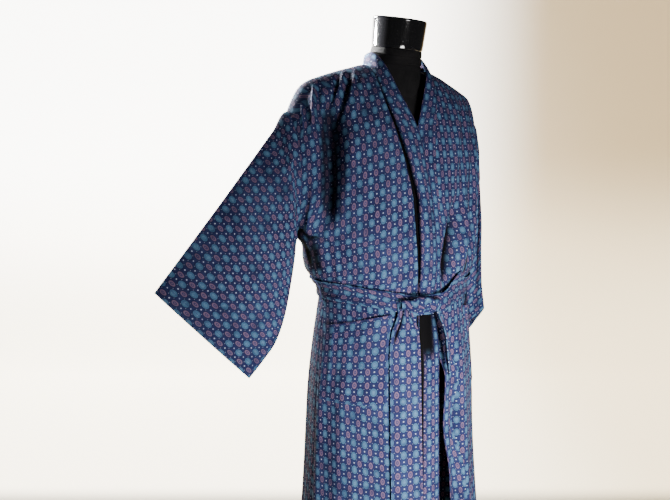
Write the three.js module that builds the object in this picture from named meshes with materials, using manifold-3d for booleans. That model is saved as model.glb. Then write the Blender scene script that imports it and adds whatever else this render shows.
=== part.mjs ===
// A kimono robe with its sash, worn by a limbless dress form on a round stand.
// Millimetres, +Z up. The wearer faces -Y, so the wearer's right hand is at -X.
// The origin is on the floor, under the middle of the stand's base.
import * as THREE from "three";
import { mergeVertices } from "three/addons/utils/BufferGeometryUtils.js";
import Module from "manifold-3d";

const wasm = await Module();
wasm.setup();

// Cloth and seams
const CLOTH = 2; // thickness of the robe's wall
const SEAM_GAP = 0.4; // left between two pieces along their seam
const SLEEVE_GAP = 0.75; // taken off the sleeve where it meets the armhole at a corner
const LAID_ON = 0.5; // left between a panel and what lies on it

// Heights of the worn robe
const HEM_Z = 230;
const SASH_Z = 997;
const UNDERARM_Z = 1135;
const STEP_Z = 1100; // from here up the side seam runs out to the underarm
const NECK_SIDE_Z = 1497; // where the shoulder line meets the collar
const NECK_SIDE_X = 79;
const BACK_NECK_DROP = 0.052; // share of the yoke that the back neck is cut below the shoulder line

// Collar band
const BAND_ARCH = 2.5; // the doubled band is fuller along its middle
const OVER_LEFT_BAND = 7.5; // how far out the right band's free edge lies where it crosses the left one
const NECK_STEPS = 12; // columns of the band from one shoulder line round the back to the other

// Sash
const SASH_CLOTH = 2.4;
const SASH_ROWS = 5;
const SASH_COLUMNS = 44;

const DEG = Math.PI / 180;
const BEHIND = 1e-6; // added to an angle to mean the back's own edge, where it meets a front
const lerp = (a, b, t) => a + (b - a) * t;
const clamp01 = (t) => Math.min(1, Math.max(0, t));
const smooth = (t) => clamp01(t) ** 2 * (3 - 2 * clamp01(t));
const bump = (t) => Math.exp(-t * t);

// One row a height: half the width to the side seam, and the depth at the centre front and back.
const BODY = [
  { z: 230, halfWidth: 238, front: 182, back: 186, round: 1 },
  { z: 420, halfWidth: 224, front: 172, back: 178, round: 1 },
  { z: 600, halfWidth: 211, front: 161, back: 169, round: 1 },
  { z: 780, halfWidth: 200, front: 153, back: 162, round: 1 },
  { z: 900, halfWidth: 190, front: 147, back: 157, round: 1 },
  { z: 960, halfWidth: 182, front: 142, back: 152, round: 1 },
  { z: 1000, halfWidth: 177, front: 139, back: 148, round: 1 },
  { z: 1018, halfWidth: 182, front: 140, back: 150, round: 1 },
  { z: 1050, halfWidth: 209, front: 142, back: 158, round: 1.05 },
  { z: 1087, halfWidth: 221, front: 140, back: 160, round: 1.2 },
  { z: 1112, halfWidth: 227, front: 138, back: 158, round: 1.35 },
  { z: 1135, halfWidth: 245, front: 136, back: 157, round: 1.5 },
  { z: 1220, halfWidth: 248, front: 131, back: 152, round: 1.9 },
  { z: 1497, halfWidth: 260, front: 128, back: 142, round: 2 },
];

// The two shoulders. The right one is drawn outwards, because its sleeve is held out.
// edge is the armhole's distance from the middle at the underarm and at its top;
// forward and backward are the depths of the armhole's two sides.
const SIDES = {
  right: {
    sign: -1,
    edge: { under: 249, top: 260 },
    topZ: 1386,
    forward: 48,
    backward: 50,
    shoulder: [
      { x: 0, z: 1497 },
      { x: 79, z: 1497 },
      { x: 114, z: 1488 },
      { x: 152, z: 1476 },
      { x: 193, z: 1461 },
      { x: 216, z: 1451 },
      { x: 232, z: 1438 },
      { x: 246, z: 1415 },
      { x: 260, z: 1386 },
    ],
  },
  left: {
    sign: 1,
    edge: { under: 229, top: 232 },
    topZ: 1386,
    forward: 20,
    backward: 56,
    shoulder: [
      { x: 0, z: 1497 },
      { x: 79, z: 1497 },
      { x: 109, z: 1490 },
      { x: 148, z: 1475 },
      { x: 188, z: 1458 },
      { x: 210, z: 1447 },
      { x: 222, z: 1430 },
      { x: 229, z: 1408 },
      { x: 232, z: 1386 },
    ],
  },
};

// Folds of the body panels. at is the angle round the body, from the centre front, positive to the
// wearer's left: first at the fold's top height, then at its bottom. lift is outwards, below 0 a valley.
const FOLDS = {
  right: [
    { top: 1474, bottom: 1128, atTop: -47, atBottom: -55, width: 7, lift: -40 },
    { top: 1480, bottom: 1375, atTop: -23, atBottom: -40, width: 3.2, lift: 9 },
    { top: 1400, bottom: 1150, atTop: -38, atBottom: -46, width: 5, lift: 9 },
    { top: 1480, bottom: 1400, atTop: -30, atBottom: -38, width: 2.6, lift: 5 },
    { top: 1478, bottom: 1380, atTop: -58, atBottom: -63, width: 3.6, lift: 8 },
    { top: 1320, bottom: 1150, atTop: -24, atBottom: -34, width: 4.5, lift: -5 },
    { top: 1240, bottom: 1030, atTop: -64, atBottom: -72, width: 7, lift: 8 },
    { top: 1110, bottom: 1010, atTop: -30, atBottom: -34, width: 5, lift: 4 },
    { top: 975, bottom: 250, atTop: -58, atBottom: -66, width: 6, lift: 4 },
    { top: 975, bottom: 250, atTop: -84, atBottom: -82, width: 5, lift: 5 },
    { top: 760, bottom: 232, atTop: -38, atBottom: -42, width: 7, lift: -5 },
  ],
  left: [
    { top: 1440, bottom: 1030, atTop: 57, atBottom: 47, width: 5, lift: 12 },
    { top: 1420, bottom: 1040, atTop: 68, atBottom: 62, width: 6.5, lift: -22 },
    { top: 1482, bottom: 1235, atTop: 38, atBottom: 22, width: 3.2, lift: 7 },
    { top: 1478, bottom: 1225, atTop: 49, atBottom: 39, width: 3.2, lift: 6 },
    { top: 1226, bottom: 1014, atTop: 27, atBottom: 9, width: 4.4, lift: -20 },
    { top: 1226, bottom: 1024, atTop: 37, atBottom: 25, width: 5, lift: 12 },
    { top: 972, bottom: 225, atTop: 21, atBottom: 19, width: 5, lift: -20 },
    { top: 972, bottom: 225, atTop: 30, atBottom: 31, width: 6, lift: 6 },
    { top: 760, bottom: 225, atTop: 58, atBottom: 62, width: 6, lift: -8 },
    { top: 975, bottom: 250, atTop: 84, atBottom: 82, width: 5, lift: 5 },
  ],
  back: [
    { top: 1440, bottom: 1040, atTop: 126, atBottom: 133, width: 6, lift: 11 },
    { top: 1440, bottom: 1040, atTop: -126, atBottom: -131, width: 6, lift: 12 },
    { top: 1420, bottom: 1120, atTop: 112, atBottom: 108, width: 6, lift: -18 },
    { top: 1420, bottom: 1120, atTop: -113, atBottom: -109, width: 6, lift: -18 },
    { top: 1200, bottom: 1036, atTop: 152, atBottom: 156, width: 5, lift: 9 },
    { top: 1180, bottom: 1036, atTop: -149, atBottom: -155, width: 5, lift: 10 },
    { top: 1150, bottom: 1036, atTop: 176, atBottom: 172, width: 5, lift: 7 },
    { top: 985, bottom: 225, atTop: 120, atBottom: 117, width: 6, lift: -10 },
    { top: 985, bottom: 225, atTop: 142, atBottom: 144, width: 7, lift: 9 },
    { top: 985, bottom: 225, atTop: 168, atBottom: 164, width: 6, lift: -9 },
    { top: 985, bottom: 225, atTop: -165, atBottom: -168, width: 7, lift: 9 },
    { top: 985, bottom: 225, atTop: -141, atBottom: -143, width: 6, lift: -11 },
    { top: 985, bottom: 225, atTop: -119, atBottom: -115, width: 7, lift: 8 },
  ],
};

// The fronts' edges, as distances from the middle (positive to the wearer's left).
// seam is where the collar band is sewn on, free is the band's other edge, lift is how far this front
// stands outside the body's own surface there, groove and ditch are the sunk seam's width and depth, and
// rise is how far the free edge stands up beside the neck.
const EDGE = {
  right: [
    { z: 230, seam: -64, free: -8, lift: 14, groove: 8, ditch: 7, rise: 0 },
    { z: 600, seam: -46, free: 8, lift: 14, groove: 8, ditch: 9, rise: 0 },
    { z: 780, seam: -40, free: 12, lift: 14, groove: 8, ditch: 9, rise: 0 },
    { z: 886, seam: -35, free: 15, lift: 14, groove: 8, ditch: 9, rise: 0 },
    { z: 960, seam: -31, free: 11, lift: 12, groove: 6, ditch: 6, rise: 0 },
    { z: 997, seam: -29, free: 9, lift: 10, groove: 5, ditch: 3, rise: 0 },
    { z: 1040, seam: -28, free: 11, lift: 12, groove: 7, ditch: 7, rise: 0 },
    { z: 1113, seam: -26, free: 14, lift: 16, groove: 12, ditch: 11, rise: 0 },
    { z: 1198, seam: -27, free: 9, lift: 18, groove: 15, ditch: 13, rise: 0 },
    { z: 1272, seam: -41, free: -2, lift: 17, groove: 13, ditch: 12, rise: 0 },
    { z: 1345, seam: -58, free: -11, lift: 13, groove: 10, ditch: 9, rise: 0 },
    { z: 1415, seam: -73, free: -41, lift: 6, groove: 7, ditch: 6, rise: 9 },
    { z: 1460, seam: -78, free: -55, lift: 3, groove: 5, ditch: 3, rise: 20 },
    { z: 1497, seam: -79, free: -63, lift: 0, groove: 4, ditch: -0.8, rise: 27 },
  ],
  left: [
    { z: 230, seam: 116, free: 66, lift: 0, groove: 6, ditch: 3, rise: 0 },
    { z: 400, seam: 108, free: 60, lift: 0, groove: 6, ditch: 3, rise: 0 },
    { z: 590, seam: 97, free: 49, lift: 0, groove: 6, ditch: 3, rise: 0 },
    { z: 710, seam: 77, free: 29, lift: 0, groove: 6, ditch: 3, rise: 0 },
    { z: 813, seam: 86, free: 38, lift: 0, groove: 6, ditch: 3, rise: 0 },
    { z: 880, seam: 62, free: 14, lift: 0, groove: 6, ditch: 3, rise: 0 },
    { z: 940, seam: 46, free: 0, lift: 0, groove: 6, ditch: 2, rise: 0 },
    { z: 997, seam: 36, free: -8, lift: 0, groove: 6, ditch: 2, rise: 0 },
    { z: 1100, seam: 37, free: -8, lift: 0, groove: 6, ditch: 2, rise: 0 },
    { z: 1200, seam: 34, free: -12, lift: 0, groove: 6, ditch: 2, rise: 0 },
    { z: 1270, seam: 30, free: -18, lift: 0, groove: 6, ditch: 2, rise: 0 },
    { z: 1345, seam: 38, free: -11, lift: 0, groove: 6, ditch: 2, rise: 0 },
    { z: 1420, seam: 62, free: 22, lift: 0, groove: 6, ditch: 2, rise: 9 },
    { z: 1460, seam: 74, free: 48, lift: 0, groove: 5, ditch: 2, rise: 20 },
    { z: 1497, seam: 79, free: 63, lift: 0, groove: 4, ditch: -0.8, rise: 27 },
  ],
};

// Heights of the rows of the body's pieces, up to the underarm, and then shares of the way to the shoulder line.
const LOW_ROWS = [
  230, 350, 480, 610, 730, 815, 880, 930, 965, 1000, 1022, 1050, 1080, 1108, 1135,
];
const YOKE_SHARES = [0.11, 0.23, 0.36, 0.49, 0.61, 0.73, 0.84, 0.92, 0.97, 0.995, 1];
const YOKE_RISE = NECK_SIDE_Z - UNDERARM_Z;
const ROWS = [...LOW_ROWS, ...YOKE_SHARES.map((w) => UNDERARM_Z + w * YOKE_RISE)];

// Reads a column of a table at a place between its rows, along a smooth curve with no overshoot.
function read(table, key, column, at) {
  const last = table.length - 1;
  if (at <= table[0][key]) return table[0][column];
  if (at >= table[last][key]) return table[last][column];
  const i = table.findIndex((row) => row[key] > at) - 1;
  const slope = (k) => (table[k + 1][column] - table[k][column]) / (table[k + 1][key] - table[k][key]);
  const bend = (k) => {
    if (k === 0 || k === last) return slope(Math.min(k, last - 1));
    const [before, after] = [slope(k - 1), slope(k)];
    return before * after <= 0 ? 0 : (2 * before * after) / (before + after);
  };
  const span = table[i + 1][key] - table[i][key];
  const t = (at - table[i][key]) / span;
  return (
    table[i][column] * (1 + 2 * t) * (1 - t) ** 2 +
    bend(i) * span * t * (1 - t) ** 2 +
    table[i + 1][column] * t * t * (3 - 2 * t) +
    bend(i + 1) * span * t * t * (t - 1)
  );
}

// Half a trunk's width at a height. Above the underarm it reaches out to the armhole.
function halfWidth(rows, side, height) {
  if (height < UNDERARM_Z) {
    const own = read(rows, "z", "halfWidth", height);
    const step = smooth((height - STEP_Z) / (UNDERARM_Z - STEP_Z));
    return own + step * (side.edge.under - read(rows, "z", "halfWidth", UNDERARM_Z));
  }
  return lerp(side.edge.under, side.edge.top, (height - UNDERARM_Z) / YOKE_RISE);
}

// A trunk's surface with no folds: angle round it from the centre front, and height, which above the
// underarm is the height that the row would reach beside the neck.
function trunk(rows, side, falls, angle, height) {
  const turn = Math.abs(angle) * DEG;
  const forward = Math.abs(angle) <= 90;
  const depth = read(rows, "z", forward ? "front" : "back", height);
  const power = read(rows, "z", "round", height);
  const x = halfWidth(rows, side, height) * Math.sin(turn);
  const across = Math.abs(Math.cos(turn)) ** power;
  const facing = forward ? -1 : 1;
  if (height <= UNDERARM_Z) return new THREE.Vector3(side.sign * x, facing * depth * across, height);
  const share = (height - UNDERARM_Z) / YOKE_RISE;
  const armhole = (forward ? side.forward : side.backward) * Math.sin(Math.PI * share) ** 0.6;
  const deep = depth * Math.sqrt(Math.max(0, 1 - share ** (forward ? falls.front : falls.back)));
  const y = facing * (armhole + (deep - armhole) * across);
  return new THREE.Vector3(side.sign * x, y, UNDERARM_Z + share * (read(side.shoulder, "x", "z", x) - UNDERARM_Z));
}

const sideOf = (angle) => (angle < 0 ? SIDES.right : SIDES.left);
const ROBE_FALLS = { front: 2.4, back: 3.4 };
const plain = (angle, height) => trunk(BODY, sideOf(angle), ROBE_FALLS, angle, height);

// The plain surface's outward normal, from two short steps.
function outward(angle, height) {
  const step = 0.5;
  const held = Math.min(Math.abs(angle), 179.9);
  const quarter = held < 90 ? Math.min(held, 89) : Math.max(held, 91);
  const a = Math.sign(angle || 1) * quarter;
  const h = Math.min(height, NECK_SIDE_Z - 4);
  const along = plain(a + step, h).sub(plain(a - step, h));
  const up = plain(a, h + step).sub(plain(a, h - step));
  return along.cross(up).normalize();
}

// What the folds of a panel add outwards at a place.
function folded(panel, angle, height) {
  let sum = 0;
  const lists = panel === "back" ? Object.values(FOLDS) : [FOLDS[panel], FOLDS.back];
  for (const fold of lists.flat()) {
    const share = (height - fold.bottom) / (fold.top - fold.bottom);
    const centre = lerp(fold.atBottom, fold.atTop, clamp01(share));
    const apart = Math.abs(angle - centre) > 180 ? 360 - Math.abs(angle - centre) : angle - centre;
    const open = fold.bottom <= HEM_Z ? 1 : smooth(share / 0.3);
    sum += fold.lift * bump(apart / fold.width) * open * smooth((1 - share) / 0.3);
  }
  return sum * (1 - 0.75 * bump((height - SASH_Z) / 16));
}

// How far the right front stands out over the left one, fading towards its side.
const overlap = (angle, height) => read(EDGE.right, "z", "lift", height) * smooth((angle + 62) / 40);

// A front's wall at an angle and height; beyond is what is added outwards.
function frontPoint(name, angle, height, beyond = 0) {
  const layer = name === "right" ? overlap(angle, height) : 0;
  const out = folded(name, angle, height) + layer + beyond;
  return plain(angle, height).addScaledVector(outward(angle, height), out);
}

const backPoint = (angle, height, beyond = 0) =>
  plain(angle, height).addScaledVector(outward(angle, height), folded("back", angle, height) + beyond);

// The angle at which the body's surface is a given distance from the middle.
function angleAt(x, height) {
  const side = x < 0 ? SIDES.right : SIDES.left;
  return Math.asin(x / halfWidth(BODY, side, height)) / DEG;
}

// Solids

const material = (color, roughness, metalness = 0) =>
  new THREE.MeshStandardMaterial({ color, roughness, metalness });
const printedCotton = material(0x2c3f6b, 0.75);
const blackJersey = material(0x0b0b0c, 0.85);
const glossBlack = material(0x050506, 0.12);
const blackSteel = material(0x18181a, 0.4, 0.6);

// The direction through a point from the one before it to the one after it; a corner is halved.
function through(before, point, after) {
  const come = point.clone().sub(before).normalize();
  return come.add(after.clone().sub(point).normalize());
}

// The vertex normals of a grid of points, grid[row][column]; round grids close along their columns.
function gridNormals(grid, round) {
  const rows = grid.length;
  const cols = grid[0].length;
  const wrap = (j) => (round ? (j + cols) % cols : Math.min(cols - 1, Math.max(0, j)));
  const row = (i) => Math.min(rows - 1, Math.max(0, i));
  return grid.map((line, i) =>
    line.map((point, j) => {
      const across = through(line[wrap(j - 1)], point, line[wrap(j + 1)]);
      const along = through(grid[row(i - 1)][j], point, grid[row(i + 1)][j]);
      return across.cross(along).normalize();
    }),
  );
}

// A wall through a grid of points, half its thickness to each side of them.
function wall(grid, thickness, { round = false, normals = gridNormals(grid, round) } = {}) {
  const rows = grid.length;
  const cols = grid[0].length;
  const points = [];
  for (const face of [1, -1]) {
    grid.forEach((line, i) =>
      line.forEach((p, j) => points.push(p.clone().addScaledVector(normals[i][j], (face * thickness) / 2))),
    );
  }
  const at = (i, j, face) => (face > 0 ? 0 : rows * cols) + i * cols + (j % cols);
  const index = [];
  const quad = (a, b, c, d) => index.push(a, b, c, a, c, d);
  const lastColumn = round ? cols : cols - 1;
  for (let i = 0; i < rows - 1; i++) {
    for (let j = 0; j < lastColumn; j++) {
      quad(at(i, j, 1), at(i, j + 1, 1), at(i + 1, j + 1, 1), at(i + 1, j, 1));
      quad(at(i, j, -1), at(i + 1, j, -1), at(i + 1, j + 1, -1), at(i, j + 1, -1));
    }
  }
  for (let j = 0; j < lastColumn; j++) {
    quad(at(0, j, 1), at(0, j, -1), at(0, j + 1, -1), at(0, j + 1, 1));
    quad(at(rows - 1, j, 1), at(rows - 1, j + 1, 1), at(rows - 1, j + 1, -1), at(rows - 1, j, -1));
  }
  if (!round) {
    for (let i = 0; i < rows - 1; i++) {
      quad(at(i, 0, 1), at(i + 1, 0, 1), at(i + 1, 0, -1), at(i, 0, -1));
      quad(at(i, cols - 1, 1), at(i, cols - 1, -1), at(i + 1, cols - 1, -1), at(i + 1, cols - 1, 1));
    }
  }
  return geometryOf(points, index);
}

function geometryOf(points, index) {
  const geometry = new THREE.BufferGeometry();
  geometry.setAttribute("position", new THREE.Float32BufferAttribute(points.flatMap((p) => p.toArray()), 3));
  geometry.setIndex(index);
  geometry.computeVertexNormals();
  return geometry;
}

// A closed body through rings of points, with a flat cap at each end; capless ends are drawn to a line.
function loft(rings, { topCap = true } = {}) {
  const count = rings[0].length;
  const points = rings.flat();
  const index = [];
  for (let i = 0; i < rings.length - 1; i++) {
    for (let j = 0; j < count; j++) {
      const [a, b] = [i * count + j, i * count + ((j + 1) % count)];
      index.push(a, b, b + count, a, b + count, a + count);
    }
  }
  const cap = (first, upward) => {
    const middle = points.length;
    const ring = points.slice(first, first + count);
    points.push(ring.reduce((sum, p) => sum.add(p), new THREE.Vector3()).divideScalar(count));
    for (let j = 0; j < count; j++) {
      const [a, b] = [first + j, first + ((j + 1) % count)];
      index.push(middle, ...(upward ? [a, b] : [b, a]));
    }
  };
  cap(0, false);
  if (topCap) cap((rings.length - 1) * count, true);
  return geometryOf(points, index);
}

// A closed geometry as a solid for booleans, and back.
function toSolid(geometry) {
  const bare = geometry.clone();
  bare.deleteAttribute("normal");
  const merged = mergeVertices(bare, 1e-3);
  const corners = Array.from(merged.index.array);
  const triVerts = [];
  for (let i = 0; i < corners.length; i += 3) {
    const [a, b, c] = corners.slice(i, i + 3);
    if (a !== b && b !== c && a !== c) triVerts.push(a, b, c);
  }
  const vertProperties = merged.attributes.position.array;
  return new wasm.Manifold(new wasm.Mesh({ numProp: 3, vertProperties, triVerts: new Uint32Array(triVerts) }));
}

function fromSolid(solid) {
  const mesh = solid.getMesh();
  const geometry = new THREE.BufferGeometry();
  geometry.setAttribute("position", new THREE.BufferAttribute(mesh.vertProperties, 3));
  geometry.setIndex(Array.from(mesh.triVerts));
  return geometry;
}

// Moves one edge of a grid inwards by a distance, so that its piece stops short of the seam.
function shorten(grid, edge, distance) {
  const rows = grid.length;
  const cols = grid[0].length;
  const pull = (p, towards) => p.add(towards.clone().sub(p).setLength(distance));
  if (edge === "first row") grid[0].forEach((p, j) => pull(p, grid[1][j]));
  if (edge === "last row") grid[rows - 1].forEach((p, j) => pull(p, grid[rows - 2][j]));
  if (edge === "first column") grid.forEach((line) => pull(line[0], line[1]));
  if (edge === "last column") grid.forEach((line) => pull(line[cols - 1], line[cols - 2]));
  return grid;
}

// Body panels

const FRONT_COLUMNS = 10;

// Angles of a front's columns at a height, from the sunk seam to the side seam.
function frontAngles(name, height) {
  const sign = SIDES[name].sign;
  const seam = read(EDGE[name], "z", "seam", height);
  const groove = read(EDGE[name], "z", "groove", height);
  const near = [0, 0.5, 1, 1.8].map((share) => angleAt(seam + sign * groove * share, height));
  const start = near[near.length - 1];
  const rest = Array.from({ length: FRONT_COLUMNS }, (_, k) => lerp(start, sign * 90, (k + 1) / FRONT_COLUMNS));
  return [...near, ...rest];
}

// Depth of the ditch beside the band for the first columns of a front.
const DITCH_SHARES = [1, 0.8, 0.16, 0];

function frontGrid(name) {
  const grid = ROWS.map((height) => {
    const ditch = Math.max(0, read(EDGE[name], "z", "ditch", height));
    return frontAngles(name, height).map((angle, k) =>
      frontPoint(name, angle, height, -ditch * (DITCH_SHARES[k] ?? 0)),
    );
  });
  return SIDES[name].sign < 0 ? grid.map((line) => line.reverse()) : grid;
}

// The back's columns run straight up, and meet the fronts' columns along the shoulder line.
const backAngles = (name) => frontAngles(name, NECK_SIDE_Z).filter((_, k) => k !== 1 && k !== 2);
const UNDER_NECK = [0.75, 0.5, 0.25];
function backLine() {
  const half = (name) => {
    const angles = backAngles(name).map((angle) => SIDES[name].sign * (180 + BEHIND) - angle);
    const neck = Math.abs(backAngles(name)[0]);
    const inner = UNDER_NECK.map((share) => SIDES[name].sign * (180 - neck * share));
    return [...angles.reverse(), ...inner];
  };
  return [...half("left"), 180, ...half("right").reverse()];
}

// Above the underarm the back's rows close up under the neck, which is cut a little below the shoulder line.
function backHeight(angle, height) {
  if (height <= UNDERARM_Z) return height;
  const x = Math.abs(plain(angle, NECK_SIDE_Z).x);
  const drop = BACK_NECK_DROP * (1 - smooth(x / NECK_SIDE_X));
  const share = (height - UNDERARM_Z) / YOKE_RISE;
  return UNDERARM_Z + YOKE_RISE * share * (1 - drop * share ** 2);
}

const NECK_ANGLE = { right: -backAngles("right")[0], left: backAngles("left")[0] };
const BACK_LINE = backLine();
const backGrid = () => ROWS.map((height) => BACK_LINE.map((angle) => backPoint(angle, backHeight(angle, height))));

// Collar band: one strip from hem to hem round the back of the neck. Each row runs from its free edge,
// over its arch and outer fold, down to its seam. turned is how far from the seam the fold stands.
const BAND_SHARES = [0, 0.3, 0.65, 0.97];
const BAND_TURN = 2;

function bandRow(name, height) {
  const sign = SIDES[name].sign;
  const [free, seam, lift, ditch, rise] = ["free", "seam", "lift", "ditch", "rise"].map((column) =>
    read(EDGE[name], "z", column, height),
  );
  const reach = (x, beyond) => frontPoint(name, angleAt(x, height), height, beyond);
  const low = Math.min(0, OVER_LEFT_BAND - lift);
  const row = BAND_SHARES.map((share) => {
    const out = 1.7 + lerp(low, 0, smooth(share / 0.8)) + BAND_ARCH * Math.sin(Math.PI * share);
    const point = reach(lerp(free, seam, share), out);
    return point.add(new THREE.Vector3(0, 0, rise * (1 - share)));
  });
  return [...row, reach(seam - sign * BAND_TURN, -ditch)];
}

// Round the neck the band stands on the back's neck edge. turn runs from -1 at the right shoulder line
// to 1 at the left.
const STAND = { sideX: 66, sideY: 0, backY: 61, z: 1524, backZ: 1517 };
const STAND_OFF = 1; // between the back's neck edge and the band

function neckRow(turn) {
  const swing = (turn * Math.PI) / 2;
  const angle = turn < 0 ? -180 - NECK_ANGLE.right * turn : 180 - NECK_ANGLE.left * turn;
  const held = turn === 0 ? 180 : angle;
  const seam = backPoint(held, backHeight(held, NECK_SIDE_Z));
  const round = Math.cos(swing);
  const free = new THREE.Vector3(
    STAND.sideX * Math.sin(swing),
    lerp(STAND.sideY, STAND.backY, round),
    lerp(STAND.z, STAND.backZ, round),
  );
  const out = new THREE.Vector3(Math.sin(swing), round, 0);
  const foot = seam.clone().add(new THREE.Vector3(0, 0, STAND_OFF + 1));
  const row = BAND_SHARES.map((share) =>
    free.clone().lerp(foot, share).addScaledVector(out, BAND_ARCH * Math.sin(Math.PI * share)),
  );
  return [...row, foot.addScaledVector(out, -BAND_TURN)];
}

function bandGrid() {
  const down = (name) => ROWS.map((height) => bandRow(name, height));
  const turns = Array.from({ length: NECK_STEPS - 1 }, (_, k) => (2 * (k + 1)) / NECK_STEPS - 1);
  return [...down("right"), ...turns.map(neckRow), ...down("left").reverse()];
}

// Sash. A ring of crumpled cloth over everything that it crosses: how far its wall's middle lies
// outside the body's own surface, by the angle round the body, and the height of its middle line.
const SASH = [
  { angle: -180, out: 3.6, z: 1016 },
  { angle: -90, out: 3.8, z: 1013 },
  { angle: -62, out: 5, z: 1010 },
  { angle: -40, out: 13, z: 1002 },
  { angle: -24, out: 18.5, z: 992 },
  { angle: -10, out: 19.5, z: 984 },
  { angle: 6, out: 19, z: 985 },
  { angle: 18, out: 10, z: 996 },
  { angle: 34, out: 5, z: 1006 },
  { angle: 90, out: 3.8, z: 1013 },
  { angle: 180, out: 3.6, z: 1016 },
];
const SASH_HALF = 22;
const CRUMPLE = [0, 2.2, 0.4, 2.8, 0.2]; // the rows' own ridges, added outwards

function sashPoint(angle, row) {
  const height = read(SASH, "angle", "z", angle) + SASH_HALF * ((2 * row) / (SASH_ROWS - 1) - 1);
  const wave = CRUMPLE[row] * (0.7 + 0.3 * Math.sin(5 * angle * DEG + row));
  return plain(angle, height).addScaledVector(outward(angle, height), read(SASH, "angle", "out", angle) + wave);
}

function sashGrid() {
  const angles = Array.from({ length: SASH_COLUMNS }, (_, k) => -180 + (360 * (k + 0.5)) / SASH_COLUMNS);
  return Array.from({ length: SASH_ROWS }, (_, row) => angles.map((angle) => sashPoint(angle, row)));
}

// The knot: a flattened roll of the sash lying across it, narrower at its ends, and open there.
const KNOT = [
  { x: -84, height: 9, depth: 6, y: -157.5, z: 988 },
  { x: -72, height: 12, depth: 8, y: -164.5, z: 990 },
  { x: -56, height: 14, depth: 9.5, y: -170.5, z: 990 },
  { x: -38, height: 14.5, depth: 10, y: -174, z: 990 },
  { x: -20, height: 14, depth: 9.5, y: -175.5, z: 989 },
  { x: -6, height: 12, depth: 8, y: -175, z: 988 },
  { x: 6, height: 9, depth: 6, y: -173.5, z: 986 },
];
const KNOT_COLUMNS = 14;

function knotGrid() {
  const square = (value) => Math.sign(value) * Math.abs(value) ** 0.7;
  return KNOT.map((ring) =>
    Array.from({ length: KNOT_COLUMNS }, (_, k) => {
      const turn = (-2 * Math.PI * k) / KNOT_COLUMNS;
      const [y, z] = [square(Math.cos(turn)) * ring.depth, square(Math.sin(turn)) * ring.height];
      return new THREE.Vector3(ring.x, ring.y + y, ring.z + z);
    }),
  );
}

// The sash's two ends. The front one falls flat down the right front: its sides, and its distance from
// that front's surface at the middle and at the sides, by height. The other stands out edgewise.
const FRONT_END = [
  { z: 470, left: -103, right: -39, middle: 7, sides: 7.5 },
  { z: 620, left: -101, right: -38, middle: 6.5, sides: 6 },
  { z: 780, left: -98, right: -37, middle: 6, sides: 6.5 },
  { z: 880, left: -96, right: -36, middle: 5.5, sides: 6 },
  { z: 925, left: -91, right: -37, middle: 6.5, sides: 6 },
  { z: 950, left: -82, right: -44, middle: 10, sides: 7 },
  { z: 972, left: -77, right: -50, middle: 14, sides: 12.5 },
  { z: 996, left: -78, right: -50, middle: 14.2, sides: 14 },
];
const FRONT_END_ROWS = [470, 545, 620, 690, 760, 820, 870, 905, 932, 950, 968, 984, 996];
const FRONT_END_COLUMNS = 6;

function frontEndGrid() {
  return FRONT_END_ROWS.map((z) => {
    const [left, right, middle, sides] = ["left", "right", "middle", "sides"].map((column) =>
      read(FRONT_END, "z", column, z),
    );
    return Array.from({ length: FRONT_END_COLUMNS + 1 }, (_, k) => {
      const share = k / FRONT_END_COLUMNS;
      const angle = angleAt(lerp(left, right, share), z);
      const off = lerp(sides, middle, Math.sin(Math.PI * share));
      return plain(angle, z).addScaledVector(outward(angle, z), read(EDGE.right, "z", "lift", z) + off);
    });
  });
}

const SIDE_END = [
  { z: 826, x: 33, y: -172, width: 14, turn: 60, bow: 1 },
  { z: 850, x: 27, y: -177, width: 30, turn: 58, bow: 3 },
  { z: 885, x: 20, y: -181, width: 38, turn: 56, bow: 5 },
  { z: 925, x: 12, y: -186, width: 40, turn: 54, bow: 6 },
  { z: 955, x: 3, y: -183, width: 34, turn: 52, bow: 6 },
  { z: 974.5, x: -5, y: -178, width: 22, turn: 48, bow: 4 },
];
const SIDE_END_COLUMNS = 5;

function sideEndGrid() {
  return SIDE_END.map(({ z, x, y, width, turn, bow }) => {
    const way = new THREE.Vector3(Math.cos(turn * DEG), Math.sin(turn * DEG), 0);
    const across = new THREE.Vector3(-way.y, way.x, 0);
    return Array.from({ length: SIDE_END_COLUMNS }, (_, k) => {
      const share = k / (SIDE_END_COLUMNS - 1) - 0.5;
      const middle = new THREE.Vector3(x, y, z).addScaledVector(way, width * share);
      return middle.addScaledVector(across, bow * Math.cos(Math.PI * share));
    });
  });
}

// Patch pockets, on the fronts' own columns and rows, from the first column to the last. inner and
// outer are the mouth's heights at its two corners, sag is how far its middle hangs off the front.
const POCKETS = {
  right: { first: 5, last: 12, inner: 968, outer: 945, sag: 5 },
  left: { first: 6, last: 13, inner: 964, outer: 945, sag: 5 },
};
const POCKET_CLOTH = 1.5;
const POCKET_FOOT = 775;
const POCKET_RISES = [0, 0.25, 0.5, 0.72, 0.9, 1];

function pocketGrid(name) {
  const { first, last, inner, outer, sag } = POCKETS[name];
  const grid = POCKET_RISES.map((rise) =>
    Array.from({ length: last - first + 1 }, (_, k) => {
      const side = k / (last - first);
      const height = lerp(POCKET_FOOT, lerp(inner, outer, side), rise);
      const hang = sag * Math.sin(Math.PI * side) * rise ** 2;
      const off = CLOTH / 2 + LAID_ON + POCKET_CLOTH / 2 + hang;
      return frontPoint(name, frontAngles(name, height)[first + k], height, off);
    }),
  );
  return SIDES[name].sign < 0 ? grid.map((line) => line.reverse()) : grid;
}

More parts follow.
